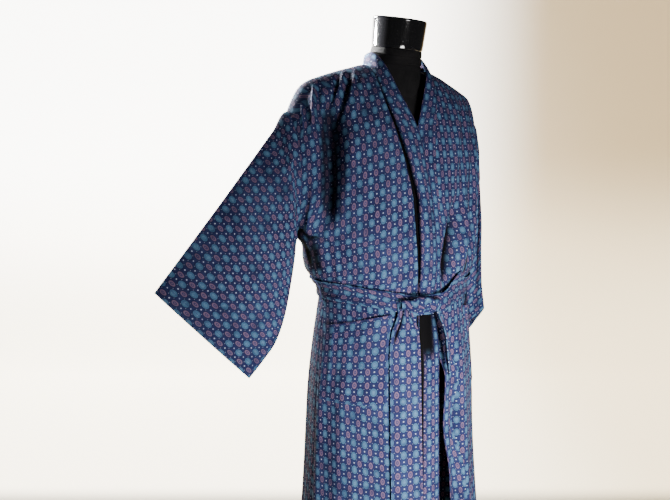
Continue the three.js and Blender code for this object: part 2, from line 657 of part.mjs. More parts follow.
// Thread loops for the sash at the side seams: how far the thread stands outside the seam, by height.
const LOOP = [
  { z: 984, off: 1.9 },
  { z: 986, off: 9 },
  { z: 1000, off: 11.5 },
  { z: 1020, off: 11 },
  { z: 1034, off: 9 },
  { z: 1046, off: 7 },
  { z: 1048, off: 2.1 },
];
const LOOP_WIDTH = 5;
const LOOP_CLOTH = 1.2;

function loopGrid(sign) {
  return LOOP.map(({ z, off }) => {
    const edge = plain(sign * 90, z);
    return [-0.5, 0, 0.5].map((k) => new THREE.Vector3(edge.x + sign * off, sign * k * LOOP_WIDTH, z));
  });
}

// Dress form
const FORM = [
  { z: 762, halfWidth: 158, front: 108, back: 126, round: 1 },
  { z: 840, halfWidth: 166, front: 112, back: 132, round: 1 },
  { z: 900, halfWidth: 160, front: 108, back: 126, round: 1 },
  { z: 960, halfWidth: 144, front: 98, back: 112, round: 1 },
  { z: 1010, halfWidth: 134, front: 92, back: 104, round: 1 },
  { z: 1060, halfWidth: 136, front: 94, back: 106, round: 1 },
  { z: 1135, halfWidth: 144, front: 102, back: 112, round: 1 },
  { z: 1230, halfWidth: 152, front: 110, back: 116, round: 1 },
  { z: 1497, halfWidth: 190, front: 104, back: 104, round: 1.2 },
];
const FORM_RIDGE_DROP = 1.45; // the robe's wall rests on the form's shoulders
const FORM_SHOULDER = SIDES.left.shoulder.map(({ x, z }) => ({
  x,
  z: Math.min(z, read(SIDES.right.shoulder, "x", "z", x)) - FORM_RIDGE_DROP,
}));
const formSide = (sign) => ({
  sign,
  edge: { under: 144, top: 200 },
  forward: 26,
  backward: 30,
  shoulder: FORM_SHOULDER,
});
const FORM_FALLS = { front: 2, back: 2.2 };
const FORM_COLUMNS = 28;
const FORM_LOW = [762, 775, 840, 900, 960, 1010, 1060, 1110];
const FORM_SHARES = [0.02, 0.2, 0.4, 0.58, 0.74, 0.87, 0.95, 0.985, 0.9985];
const FORM_FOOT = 0.94; // its lowest ring is drawn in

function formTorso() {
  const heights = [...FORM_LOW, ...FORM_SHARES.map((share) => UNDERARM_Z + share * YOKE_RISE)];
  const angles = Array.from({ length: FORM_COLUMNS }, (_, k) => (360 * (k + 0.5)) / FORM_COLUMNS - 180);
  const turned = heights.map((height, i) =>
    angles.map((angle) => {
      const point = trunk(FORM, formSide(Math.sign(angle)), FORM_FALLS, angle, height);
      const draw = i === 0 ? FORM_FOOT : 1;
      return point.set(point.x * draw, point.y * draw, point.z);
    }),
  );
  const geometry = loft(turned, { topCap: false });
  const index = Array.from(geometry.index.array);
  const top = (turned.length - 1) * FORM_COLUMNS;
  const quarter = FORM_COLUMNS / 4;
  for (let k = 0; k < FORM_COLUMNS / 2 - 1; k++) {
    const front = [k, k + 1].map((step) => top + quarter + step);
    const back = [k, k + 1].map((step) => top + ((quarter - 1 - step + FORM_COLUMNS) % FORM_COLUMNS));
    index.push(front[0], front[1], back[1], front[0], back[1], back[0]);
  }
  geometry.setIndex(index);
  return geometry;
}

// A circle of points, square to an axis that leans forward.
function circle({ radius, y = 0, z, lean = 0 }) {
  const across = new THREE.Vector3(0, Math.cos(lean * DEG), Math.sin(lean * DEG));
  return Array.from({ length: ROUND }, (_, k) => {
    const turn = (2 * Math.PI * k) / ROUND;
    return new THREE.Vector3(radius * Math.cos(turn), y, z).addScaledVector(across, radius * Math.sin(turn));
  });
}

const ROUND = 32;
const NECK = [
  { radius: 60, y: -2, z: 1440, lean: 0 },
  { radius: 58, y: -6, z: 1468, lean: 3 },
  { radius: 57.5, y: -8, z: 1496, lean: 7 },
  { radius: 57.5, y: -10, z: 1518, lean: 10 },
  { radius: 57, y: -14.6, z: 1537, lean: 12 },
];
const CAP = [
  { radius: 56, y: -14.6, z: 1537.02, lean: 12 },
  { radius: 57.5, y: -15, z: 1538.6, lean: 12 },
  { radius: 58, y: -16.5, z: 1546, lean: 12 },
  { radius: 60.4, y: -27.4, z: 1597, lean: 12 },
  { radius: 59.4, y: -27.9, z: 1599.6, lean: 12 },
  { radius: 57, y: -28.1, z: 1600.4, lean: 12 },
];
const POLE = [
  { radius: 15, z: 42 },
  { radius: 15, z: 762 },
];
const BASE = [
  { radius: 188, z: 0 },
  { radius: 190, z: 2 },
  { radius: 190, z: 8 },
  { radius: 186, z: 11 },
  { radius: 34, z: 15 },
  { radius: 26, z: 19 },
  { radius: 24, z: 40 },
  { radius: 22, z: 42 },
];
const turnedSolid = (rows) => loft(rows.map(circle));

// Normals of coinciding points are shared, so that neighbouring walls end on one plane.
function matchNormals(parts) {
  const found = new Map();
  const key = (p) => p.toArray().map((value) => Math.round(value * 100)).join(",");
  const each = (visit) => parts.forEach((part) => part.grid.forEach((line, i) => line.forEach((p, j) => visit(part, p, i, j))));
  each((part, p, i, j) => {
    const sum = found.get(key(p)) ?? new THREE.Vector3();
    found.set(key(p), sum.add(part.normals[i][j]));
  });
  each((part, p, i, j) => part.normals[i][j].copy(found.get(key(p))).normalize());
}

const root = new THREE.Group();
function add(name, geometry, finish) {
  const mesh = new THREE.Mesh(geometry, finish);
  mesh.name = name;
  root.add(mesh);
  return mesh;
}

// Sleeves. One row a station along the arm: the fold on top, the closed edge below (distances from the
// middle and from the front, and heights), and how far the two walls bulge, sideways and to front or back.
const SLEEVES = {
  right: [
    { at: 0, topX: 260, topY: 0, topZ: 1386, lowX: 249, lowY: 0, lowZ: 1135, frontX: 0, frontY: -48, backX: 0, backY: 50 },
    { at: 0.12, topX: 292, topY: 0, topZ: 1345, lowX: 253, lowY: -6, lowZ: 1078, frontX: 0, frontY: -44, backX: 0, backY: 42 },
    { at: 0.3, topX: 342, topY: -2, topZ: 1281, lowX: 263, lowY: -6, lowZ: 1016, frontX: 0, frontY: -33, backX: 0, backY: 34 },
    { at: 0.5, topX: 397, topY: -2, topZ: 1210, lowX: 276, lowY: -4, lowZ: 957, frontX: 0, frontY: -25, backX: 0, backY: 27 },
    { at: 0.7, topX: 453, topY: 0, topZ: 1138, lowX: 297, lowY: -2, lowZ: 905, frontX: 0, frontY: -20, backX: 0, backY: 22 },
    { at: 0.85, topX: 495, topY: 0, topZ: 1085, lowX: 322, lowY: 0, lowZ: 873, frontX: 0, frontY: -16, backX: 0, backY: 18 },
    { at: 1, topX: 537, topY: 0, topZ: 1032, lowX: 354, lowY: 0, lowZ: 839, frontX: 0, frontY: -12, backX: 0, backY: 14 },
  ],
  left: [
    { at: 0, topX: 232, topY: 0, topZ: 1386, lowX: 229, lowY: 0, lowZ: 1135, frontX: 0, frontY: -20, backX: 0, backY: 56 },
    { at: 0.12, topX: 243, topY: -4, topZ: 1330, lowX: 235, lowY: 26, lowZ: 1102, frontX: -1, frontY: -20, backX: 7, backY: 50 },
    { at: 0.3, topX: 248, topY: -10, topZ: 1248, lowX: 230, lowY: 66, lowZ: 1044, frontX: -8, frontY: -14, backX: 16, backY: 34 },
    { at: 0.5, topX: 249, topY: -18, topZ: 1158, lowX: 224, lowY: 104, lowZ: 976, frontX: -12, frontY: -8, backX: 18, backY: 14 },
    { at: 0.7, topX: 243, topY: -26, topZ: 1068, lowX: 219, lowY: 128, lowZ: 900, frontX: -12, frontY: -3, backX: 17, backY: 6 },
    { at: 0.85, topX: 241, topY: -31, topZ: 1000, lowX: 221, lowY: 142, lowZ: 828, frontX: -13, frontY: -2, backX: 17, backY: 3 },
    { at: 1, topX: 247, topY: -35, topZ: 933, lowX: 226, lowY: 155, lowZ: 750, frontX: -14, frontY: -2, backX: 18, backY: 2 },
  ],
};
const SLEEVE_STATIONS = [0, 0.025, 0.12, 0.24, 0.38, 0.52, 0.67, 0.82, 0.93, 1];
const BULGE = 0.7; // the walls' bulge is a half sine to this power
const SLEEVE_START = 6; // the sleeve runs straight out from the armhole this far before it falls

function sleeveGrid(name) {
  const table = SLEEVES[name];
  const sign = SIDES[name].sign;
  const shares = [0, ...YOKE_SHARES];
  const armhole = {
    front: shares.map((share) => frontPoint(name, sign * 90, UNDERARM_Z + share * YOKE_RISE)),
    back: shares.map((share) => backPoint(sign * (90 + BEHIND), UNDERARM_Z + share * YOKE_RISE)),
  };
  const grid = SLEEVE_STATIONS.map((at) => {
    const value = (column) => read(table, "at", column, at);
    const point = (face, k) => {
      if (at === 0) return armhole[face][k].clone();
      if (at === SLEEVE_STATIONS[1]) return armhole[face][k].clone().add(new THREE.Vector3(sign * SLEEVE_START, 0, 0));
      const low = new THREE.Vector3(sign * value("lowX"), value("lowY"), value("lowZ"));
      const top = new THREE.Vector3(sign * value("topX"), value("topY"), value("topZ"));
      const out = new THREE.Vector3(sign * value(`${face}X`), value(`${face}Y`), 0);
      return low.lerp(top, shares[k]).addScaledVector(out, Math.sin(Math.PI * shares[k]) ** BULGE);
    };
    const last = shares.length - 1;
    const loop = [
      ...shares.map((_, k) => point("front", k)),
      ...shares.slice(1, last).map((_, k) => point("back", last - 1 - k)),
    ];
    return sign < 0 ? loop : loop.reverse();
  });
  return grid;
}

const parts = {
  front_right: { grid: frontGrid("right") },
  front_left: { grid: frontGrid("left") },
  back: { grid: backGrid() },
  sleeve_right: { grid: sleeveGrid("right"), round: true },
  sleeve_left: { grid: sleeveGrid("left"), round: true },
};
Object.values(parts).forEach((part) => (part.normals = gridNormals(part.grid, part.round)));
matchNormals(Object.values(parts));
for (const name of ["front_right", "front_left", "back"]) {
  const normals = parts[name].normals;
  normals[normals.length - 1].forEach((n, j) => {
    if (Math.abs(parts[name].grid[ROWS.length - 1][j].x) > NECK_SIDE_X - 1) n.setY(0).normalize();
  });
}
shorten(parts.front_right.grid, "first column", SEAM_GAP / 2);
shorten(parts.front_left.grid, "last column", SEAM_GAP / 2);
shorten(parts.back.grid, "first column", SEAM_GAP / 2);
shorten(parts.back.grid, "last column", SEAM_GAP / 2);
for (const name of ["front_right", "front_left", "back"]) shorten(parts[name].grid, "last row", SEAM_GAP / 2);
for (const name of ["sleeve_right", "sleeve_left"]) shorten(parts[name].grid, "first row", SLEEVE_GAP);
for (const [name, part] of Object.entries(parts)) {
  add(name, wall(part.grid, CLOTH, part), printedCotton);
}
add("collar_band", wall(bandGrid(), CLOTH), printedCotton);
add("sash", wall(sashGrid(), SASH_CLOTH, { round: true }), printedCotton);
add("sash_knot", wall(knotGrid(), CLOTH, { round: true }), printedCotton);
add("sash_end_front", wall(frontEndGrid(), CLOTH), printedCotton);
add("sash_end_side", wall(sideEndGrid(), CLOTH), printedCotton);
for (const [name, side] of Object.entries(SIDES)) {
  add(`pocket_${name}`, wall(pocketGrid(name), POCKET_CLOTH), printedCotton);
  add(`sash_loop_${name}`, wall(loopGrid(side.sign), LOOP_CLOTH), printedCotton);
}
add("form_body", fromSolid(toSolid(formTorso()).add(toSolid(turnedSolid(NECK)))), blackJersey);
add("form_cap", turnedSolid(CAP), glossBlack);
add("form_pole", turnedSolid(POLE), blackSteel);
add("form_base", turnedSolid(BASE), blackSteel);

export default root;
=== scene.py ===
"""A printed cotton kimono robe, tied with its sash, on a limbless dress form."""
import math
from functools import partialmethod

import bpy
import numpy as np
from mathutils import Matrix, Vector


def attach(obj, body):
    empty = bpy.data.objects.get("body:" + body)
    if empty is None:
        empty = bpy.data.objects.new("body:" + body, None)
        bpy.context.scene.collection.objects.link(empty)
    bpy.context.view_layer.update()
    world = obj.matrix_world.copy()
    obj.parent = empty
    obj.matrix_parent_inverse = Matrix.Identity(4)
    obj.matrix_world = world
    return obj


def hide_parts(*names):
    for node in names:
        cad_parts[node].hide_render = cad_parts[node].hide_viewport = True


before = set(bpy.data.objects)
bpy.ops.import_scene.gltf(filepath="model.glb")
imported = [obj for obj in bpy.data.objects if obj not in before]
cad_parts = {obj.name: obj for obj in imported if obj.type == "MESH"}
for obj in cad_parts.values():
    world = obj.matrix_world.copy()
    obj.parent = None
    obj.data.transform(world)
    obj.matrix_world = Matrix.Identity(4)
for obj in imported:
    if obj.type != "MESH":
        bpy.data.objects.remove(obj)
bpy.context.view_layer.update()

MM = 0.001
DEG = math.pi / 180

# The robe's own sizes, in millimetres
HEM_Z = 230
SASH_Z = 997
UNDERARM_Z = 1135
STEP_Z = 1100
NECK_SIDE_Z = 1497
NECK_SIDE_X = 79
YOKE_RISE = NECK_SIDE_Z - UNDERARM_Z
BACK_NECK_DROP = 0.052
CLOTH = 1.0
BAND_CLOTH = 2.0
BAND_ARCH = 2.5
OVER_LEFT_BAND = 7.5


def table(columns, *rows):
    """A short table: its columns' names, and a tuple for each row."""
    return {name: np.array([row[k] for row in rows], float) for k, name in enumerate(columns.split())}


def read(rows, key, column, at):
    """A column at a place between its rows, along a smooth curve with no overshoot."""
    x, y = rows[key], rows[column]
    at = np.clip(np.asarray(at, float), x[0], x[-1])
    slopes = np.diff(y) / np.diff(x)
    bends = np.empty(len(x))
    bends[0], bends[-1] = slopes[0], slopes[-1]
    before, after = slopes[:-1], slopes[1:]
    product = before * after
    total = before + after
    safe = np.where(np.abs(total) < 1e-12, 1.0, total)
    bends[1:-1] = np.where(product <= 0, 0.0, 2 * product / safe)
    i = np.clip(np.searchsorted(x, at, side="right") - 1, 0, len(x) - 2)
    span = x[i + 1] - x[i]
    t = (at - x[i]) / span
    return (y[i] * (1 + 2 * t) * (1 - t) ** 2 + bends[i] * span * t * (1 - t) ** 2
            + y[i + 1] * t * t * (3 - 2 * t) + bends[i + 1] * span * t * t * (t - 1))


def smooth(t):
    t = np.clip(t, 0, 1)
    return t * t * (3 - 2 * t)


def ramp_between(value, ends):
    """0 at the first end and before it, 1 at the second and past it."""
    return smooth((value - ends[0]) / (ends[1] - ends[0]))


def bump(t):
    return np.exp(-np.square(t))


def mix(a, b, t):
    return a + (b - a) * t


BODY = table(
    "z halfWidth front back round",
    (230, 238, 182, 186, 1), (420, 224, 172, 178, 1), (600, 211, 161, 169, 1), (780, 200, 153, 162, 1),
    (900, 190, 147, 157, 1), (960, 182, 142, 152, 1), (1000, 177, 139, 148, 1), (1018, 182, 140, 150, 1),
    (1050, 209, 142, 158, 1.05), (1087, 221, 140, 160, 1.2), (1112, 227, 138, 158, 1.35),
    (1135, 245, 136, 157, 1.5), (1220, 248, 131, 152, 1.9), (1497, 260, 128, 142, 2),
)
RIGHT_SHOULDER = table("x z", (0, 1497), (79, 1497), (114, 1488), (152, 1476), (193, 1461), (216, 1451),
                       (232, 1438), (246, 1415), (260, 1386))
LEFT_SHOULDER = table("x z", (0, 1497), (79, 1497), (109, 1490), (148, 1475), (188, 1458), (210, 1447),
                      (222, 1430), (229, 1408), (232, 1386))
SIDES = {
    "right": dict(sign=-1, under=249, top=260, forward=48, backward=50, shoulder=RIGHT_SHOULDER),
    "left": dict(sign=1, under=229, top=232, forward=20, backward=56, shoulder=LEFT_SHOULDER),
}

# Folds of the body panels: where they are round the body, in degrees from the centre front, at their
# top and bottom heights, their width in degrees, and how far they lift the cloth.
FOLD = "top bottom atTop atBottom width lift"
FOLDS = {
    "right": table(
        FOLD,
        (1474, 1128, -47, -55, 7, -40), (1480, 1375, -23, -40, 3.2, 9), (1400, 1150, -38, -46, 5, 9),
        (1480, 1400, -30, -38, 2.6, 5), (1478, 1380, -58, -63, 3.6, 8), (1320, 1150, -24, -34, 4.5, -5),
        (1240, 1030, -64, -72, 7, 8), (1110, 1010, -30, -34, 5, 4), (975, 250, -58, -66, 6, 4),
        (975, 250, -84, -82, 5, 5), (760, 232, -38, -42, 7, -5),
    ),
    "left": table(
        FOLD,
        (1440, 1030, 57, 47, 5, 12), (1420, 1040, 68, 62, 6.5, -22), (1482, 1235, 38, 22, 3.2, 7),
        (1478, 1225, 49, 39, 3.2, 6), (1226, 1014, 27, 9, 4.4, -20), (1226, 1024, 37, 25, 5, 12),
        (972, 225, 21, 19, 5, -20), (972, 225, 30, 31, 6, 6), (760, 225, 58, 62, 6, -8),
        (975, 250, 84, 82, 5, 5),
    ),
    "back": table(
        FOLD,
        (1440, 1040, 126, 133, 6, 11), (1440, 1040, -126, -131, 6, 12), (1420, 1120, 112, 108, 6, -18),
        (1420, 1120, -113, -109, 6, -18), (1200, 1036, 152, 156, 5, 9), (1180, 1036, -149, -155, 5, 10),
        (1150, 1036, 176, 172, 5, 7), (985, 225, 120, 117, 6, -10), (985, 225, 142, 144, 7, 9),
        (985, 225, 168, 164, 6, -9), (985, 225, -165, -168, 7, 9), (985, 225, -141, -143, 6, -11),
        (985, 225, -119, -115, 7, 8),
    ),
}

# Finer creases, in the same columns: they are in the cloth only, not in the form under it.
CREASES = {
    "right": table(
        FOLD,
        (1494, 1385, -25.5, -43, 1.3, 7), (1490, 1372, -30, -47.5, 1.8, -8), (1495, 1428, -32, -45, 1.1, 6),
        (1490, 1420, -37, -49, 1.6, -7), (1492, 1390, -54, -64, 1.3, 7), (1490, 1380, -50.5, -60, 1.8, -8),
        (1470, 1400, -68, -73, 1.5, 3), (1445, 1120, -53, -61, 7, -9), (1350, 1120, -47, -50, 2.2, 4),
        (1300, 1110, -67, -70, 2, 4), (1340, 1180, -31, -43, 4, -5), (1380, 1210, -31, -36, 2.2, 2.4),
        (1300, 1140, -62, -60, 2, 3), (1270, 1120, -44, -42, 2.2, -3), (1180, 1040, -52, -60, 1.8, 2.2),
        (1120, 1020, -20, -24, 1.6, 1.6), (1105, 1015, -40, -44, 1.5, 2), (1090, 1018, -50, -52, 1.2, -1.8),
        (1085, 1015, -58, -63, 1.4, 2.2), (1075, 1018, -76, -79, 1.6, 2.4), (970, 860, -24, -27, 1.4, -1.4),
        (972, 900, -44, -49, 1.5, 1.6), (960, 780, -72, -75, 1.8, 1.8), (700, 260, -52, -55, 2.4, 2.2),
        (640, 235, -24, -26, 2.2, 1.6),
    ),
    "left": table(
        FOLD,
        (1470, 1320, 27, 33, 1.4, 2), (1440, 1250, 33, 30, 1.4, -1.6), (1460, 1380, 60, 66, 1.6, 2.6),
        (1190, 1000, 25, 10.5, 2.6, -7), (1330, 1040, 39, 25, 1.8, 5), (1200, 1030, 44, 37, 1.8, -3),
        (1150, 1030, 54, 50, 1.6, 2.4), (1120, 1020, 73, 76, 1.8, 2.2), (970, 880, 44, 46, 1.4, 1.8),
        (970, 800, 73, 71, 1.8, 2.2), (640, 235, 42, 44, 2.4, 2.2),
    ),
    "back": table(
        FOLD,
        (1460, 1330, 140, 132, 1.8, 2.2), (1460, 1300, -142, -135, 1.8, 2.4),
        (1440, 1350, 158, 152, 1.6, 1.4), (1330, 1180, -120, -123, 2, 2.6), (1300, 1150, 119, 121, 2, 2.6),
        (1240, 1080, 166, 163, 2.2, -2), (1160, 1050, -168, -171, 1.8, 2.2),
        (1130, 1040, 139, 142, 1.6, 2.4), (1120, 1040, -136, -139, 1.6, 2.4),
        (1100, 1040, 112, 115, 1.6, 2.2), (1100, 1040, -108, -111, 1.6, 2), (985, 880, 130, 132, 1.6, 2),
        (985, 900, -128, -131, 1.6, 2), (985, 860, 156, 155, 1.6, 1.8), (985, 870, -153, -156, 1.6, 1.8),
        (640, 235, 105, 107, 2.4, 2.2), (620, 235, -103, -104, 2.4, 2.2),
    ),
}

# The fronts' edges, as distances from the middle.
EDGE_COLUMNS = "z seam free lift groove ditch rise"
EDGE = {
    "right": table(
        EDGE_COLUMNS,
        (230, -64, -8, 14, 8, 7, 0), (600, -46, 8, 14, 8, 9, 0), (780, -40, 12, 14, 8, 9, 0),
        (886, -35, 15, 14, 8, 9, 0), (960, -31, 11, 12, 6, 6, 0), (997, -29, 9, 10, 5, 3, 0),
        (1040, -28, 11, 12, 7, 7, 0), (1113, -26, 14, 16, 12, 11, 0), (1198, -27, 9, 18, 15, 13, 0),
        (1272, -41, -2, 17, 13, 12, 0), (1345, -58, -11, 13, 10, 9, 0), (1415, -73, -41, 6, 7, 6, 9),
        (1460, -78, -55, 3, 5, 3, 20), (1497, -79, -63, 0, 4, -0.8, 27),
    ),
    "left": table(
        EDGE_COLUMNS,
        (230, 116, 66, 0, 6, 3, 0), (400, 108, 60, 0, 6, 3, 0), (590, 97, 49, 0, 6, 3, 0),
        (710, 77, 29, 0, 6, 3, 0), (813, 86, 38, 0, 6, 3, 0), (880, 62, 14, 0, 6, 3, 0),
        (940, 46, 0, 0, 6, 2, 0), (997, 36, -8, 0, 6, 2, 0), (1100, 37, -8, 0, 6, 2, 0),
        (1200, 34, -12, 0, 6, 2, 0), (1270, 30, -18, 0, 6, 2, 0), (1345, 38, -11, 0, 6, 2, 0),
        (1420, 62, 22, 0, 6, 2, 9), (1460, 74, 48, 0, 5, 2, 20), (1497, 79, 63, 0, 4, -0.8, 27),
    ),
}


def edge_at(name, key, height):
    return read(EDGE[name], "z", key, height)


# The body's surface
def half_width(side, height):
    own = read(BODY, "z", "halfWidth", height)
    step = smooth((height - STEP_Z) / (UNDERARM_Z - STEP_Z))
    low = own + step * (side["under"] - read(BODY, "z", "halfWidth", UNDERARM_Z))
    high = mix(side["under"], side["top"], (height - UNDERARM_Z) / YOKE_RISE)
    return np.where(height < UNDERARM_Z, low, high)


def plain(angle, height):
    """The body's surface with no folds: angle round it from the centre front, and height."""
    angle, height = np.broadcast_arrays(np.asarray(angle, float), np.asarray(height, float))
    halves = [plain_half(SIDES[name], np.abs(angle), height) for name in ("right", "left")]
    return np.where((angle < 0)[..., None], halves[0], halves[1])


def plain_half(side, angle, height):
    turn = angle * DEG
    forward = angle <= 90
    depth = np.where(forward, read(BODY, "z", "front", height), read(BODY, "z", "back", height))
    x = half_width(side, height) * np.sin(turn)
    across = np.abs(np.cos(turn)) ** read(BODY, "z", "round", height)
    share = np.clip((height - UNDERARM_Z) / YOKE_RISE, 0, 1)
    armhole = np.where(forward, side["forward"], side["backward"]) * np.sin(math.pi * share) ** 0.6
    deep = depth * np.sqrt(np.maximum(0, 1 - share ** np.where(forward, 2.4, 3.4)))
    high = armhole + (deep - armhole) * across
    y = np.where(height <= UNDERARM_Z, depth * across, high) * np.where(forward, -1, 1)
    top = UNDERARM_Z + share * (read(side["shoulder"], "x", "z", x) - UNDERARM_Z)
    z = np.where(height <= UNDERARM_Z, height, top)
    return np.stack([side["sign"] * x, y, z], -1)


def unit(vectors):
    return vectors / np.maximum(np.linalg.norm(vectors, axis=-1, keepdims=True), 1e-9)


def outward(angle, height):
    angle, height = np.broadcast_arrays(np.asarray(angle, float), np.asarray(height, float))
    held = np.minimum(np.abs(angle), 179.9)
    quarter = np.where(held < 90, np.minimum(held, 89), np.maximum(held, 91))
    a = np.where(angle < 0, -quarter, quarter)
    h = np.minimum(height, NECK_SIDE_Z - 4)
    along = plain(a + 0.5, h) - plain(a - 0.5, h)
    up = plain(a, h + 0.5) - plain(a, h - 0.5)
    return unit(np.cross(along, up))


def folds_of(lists, angle, height):
    total = np.zeros(np.broadcast(angle, height).shape)
    for rows in lists:
        for top, bottom, at_top, at_bottom, width, lift in zip(*rows.values()):
            share = (height - bottom) / (top - bottom)
            centre = mix(at_bottom, at_top, np.clip(share, 0, 1))
            apart = np.abs(angle - centre)
            apart = np.where(apart > 180, 360 - apart, apart)
            begin = 1 if bottom <= HEM_Z else smooth(share / 0.3)
            total += lift * bump(apart / width) * begin * smooth((1 - share) / 0.3)
    return total * (1 - 0.75 * bump((height - SASH_Z) / 16))


def folded(panel, angle, height):
    """What folds and creases add outwards. The back's reach round to the fronts, and theirs to it."""
    names = ("right", "left", "back") if panel == "back" else (panel, "back")
    return folds_of([FOLDS[name] for name in names] + [CREASES[name] for name in names], angle, height)


def overlap(angle, height):
    return edge_at("right", "lift", height) * smooth((angle + 62) / 40)


def front_point(name, angle, height, beyond=0.0):
    layer = overlap(angle, height) if name == "right" else 0.0
    out = folded(name, angle, height) + layer + beyond
    return plain(angle, height) + outward(angle, height) * np.asarray(out)[..., None]


def back_point(angle, height, beyond=0.0):
    out = folded("back", angle, height) + beyond
    return plain(angle, height) + outward(angle, height) * np.asarray(out)[..., None]


# A straight crease on a wall: its two ends, as shares of the wall, and its width and lift in millimetres
CREASE = "at0 up0 at1 up1 width lift"


def creases_between(rows, x, y, long, high):
    """Sum of the creases at places on a wall of this length and height."""
    total = np.zeros(np.broadcast(x, y).shape)
    for at0, up0, at1, up1, width, lift in zip(*rows.values()):
        way = np.array([(at1 - at0) * long, (up1 - up0) * high])
        t = ((x - at0) * long * way[0] + (y - up0) * high * way[1]) / (way @ way)
        nearest = np.clip(t, 0, 1)
        off = np.hypot((x - at0) * long - nearest * way[0], (y - up0) * high - nearest * way[1])
        inside = smooth(nearest / 0.3) * smooth((1 - nearest) / 0.35)
        total += lift * bump(off / width) * (0.15 + 0.85 * inside)
    return total


def angle_at(x, height):
    side = np.where(np.asarray(x) < 0, half_width(SIDES["right"], height), half_width(SIDES["left"], height))
    return np.arcsin(x / side) / DEG


def robe_heights(count):
    """Heights of the robe's rows, close together where the shoulders turn over."""
    low = np.linspace(HEM_Z, UNDERARM_Z, int(count * 0.62), endpoint=False)
    high = UNDERARM_Z + YOKE_RISE * np.sin(np.linspace(0, math.pi / 2, count - len(low)))
    return np.concatenate([low, high])


# Meshes
def grid_normals(grid, round_about=False):
    def steps(axis, closed):
        if closed:
            return unit(np.roll(grid, -1, axis) - grid) + unit(grid - np.roll(grid, 1, axis))
        step = unit(np.diff(grid, axis=axis))
        first = np.take(step, [0], axis)
        last = np.take(step, [-1], axis)
        return np.concatenate([first, step], axis) + np.concatenate([step, last], axis)
    return unit(np.cross(steps(1, round_about), steps(0, False)))


def cloth_map(grid, round_about=False, upright=True):
    """Where each point lies on the flat cut, in millimetres: arc lengths across and along."""
    across = np.linalg.norm(np.diff(grid, axis=1), axis=-1)
    if round_about:
        across = np.concatenate([across, np.linalg.norm(grid[:, :1] - grid[:, -1:], axis=-1)], 1)
    along = np.linalg.norm(np.diff(grid, axis=0), axis=-1)
    u = np.concatenate([np.zeros((grid.shape[0], 1)), np.cumsum(across, 1)], 1)
    v = np.concatenate([np.zeros((1, grid.shape[1])), np.cumsum(along, 0)], 0)
    if round_about:
        v = np.concatenate([v, v[:, :1]], 1)
    return (u, v) if upright else (v, u)


def make_mesh(name, points, faces, material, uv=None):
    mesh = bpy.data.meshes.new(name)
    mesh.from_pydata((np.asarray(points) * MM).tolist(), [], faces)
    if uv is not None:
        layer = mesh.uv_layers.new(name="cloth")
        layer.data.foreach_set("uv", np.asarray(uv, float).ravel())
    mesh.materials.append(material)
    mesh.polygons.foreach_set("use_smooth", [True] * len(mesh.polygons))
    mesh.validate()
    piece = bpy.data.objects.new(name, mesh)
    bpy.context.scene.collection.objects.link(piece)
    return piece


def ride(piece, node):
    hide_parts(node)
    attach(piece, "root")
    return piece


def cloth_piece(node, grid, finish, thickness=CLOTH, round_about=False, flat=None, gap=None):
    """A thin wall through a grid of points, in place of a node's solid.

    flat is each point's place on the flat cut. The last argument is painted shade: how far each point's
    colour is darkened towards near black, up to 1 deep in folds, grooves and recesses.
    """
    rows, cols = grid.shape[:2]
    off = grid_normals(grid, round_about) * thickness / 2
    points = np.stack([grid + off, grid - off]).reshape(-1, 3)
    u, v = (part * MM for part in (flat or cloth_map(grid, round_about)))

    def quads(*corners):
        """Faces and their places on the cut, from four corners: face, row and column."""
        ids = [(face * rows + row) * cols + col % cols for face, row, col in corners]
        places = [np.stack([u[row, col], v[row, col]], -1) for _, row, col in corners]
        return np.stack(ids, 1), np.stack(places, 1)

    last = cols if round_about else cols - 1
    i, j = (index.ravel() for index in np.meshgrid(np.arange(rows - 1), np.arange(last), indexing="ij"))
    parts = [quads((0, i, j), (0, i, j + 1), (0, i + 1, j + 1), (0, i + 1, j)),
             quads((1, i, j), (1, i + 1, j), (1, i + 1, j + 1), (1, i, j + 1))]
    c, r = np.arange(last), np.arange(rows - 1)
    for row, way in ((0, 1), (rows - 1, -1)):
        line = np.full(last, row)
        parts.append(quads(*((0, line, c), (1, line, c), (1, line, c + 1), (0, line, c + 1))[::way]))
    for col, way in () if round_about else ((0, 1), (cols - 1, -1)):
        line = np.full(rows - 1, col)
        parts.append(quads(*((0, r, line), (0, r + 1, line), (1, r + 1, line), (1, r, line))[::way]))
    faces, marks = (np.concatenate(part) for part in zip(*parts))
    piece = make_mesh(f"{node}_cloth", points, faces.tolist(), finish, marks.reshape(-1, 2))
    # Painted shade, handed to the material as a point attribute.
    if gap is not None:
        layer = piece.data.attributes.new("gap", "FLOAT", "POINT")
        layer.data.foreach_set("value", np.concatenate([gap.ravel(), gap.ravel()]))
    return ride(piece, node)


def closed_mesh(name, grid, finish):
    """A body through rings of points that run anticlockwise from above."""
    rows, cols = grid.shape[:2]
    i, j = (index.ravel() for index in np.meshgrid(np.arange(rows - 1), np.arange(cols), indexing="ij"))
    k = (j + 1) % cols
    faces = np.stack([i * cols + j, i * cols + k, (i + 1) * cols + k, (i + 1) * cols + j], 1).tolist()
    faces += [list(range(cols))[::-1], list(range((rows - 1) * cols, rows * cols))]
    return make_mesh(name, grid.reshape(-1, 3), faces, finish)


def ring_turns(count):
    return 2 * math.pi * np.arange(count) / count


def turned(name, z, reach, finish, y=0.0, lean=0.0, columns=128):
    """A body of rings: columns of their heights, reaches, places in y and leans in degrees."""
    turn, lean = ring_turns(columns), lean * DEG
    away = reach * np.sin(turn)
    grid = np.stack([reach * np.cos(turn), y + away * np.cos(lean), z + away * np.sin(lean)], -1)
    return closed_mesh(name, grid, finish)


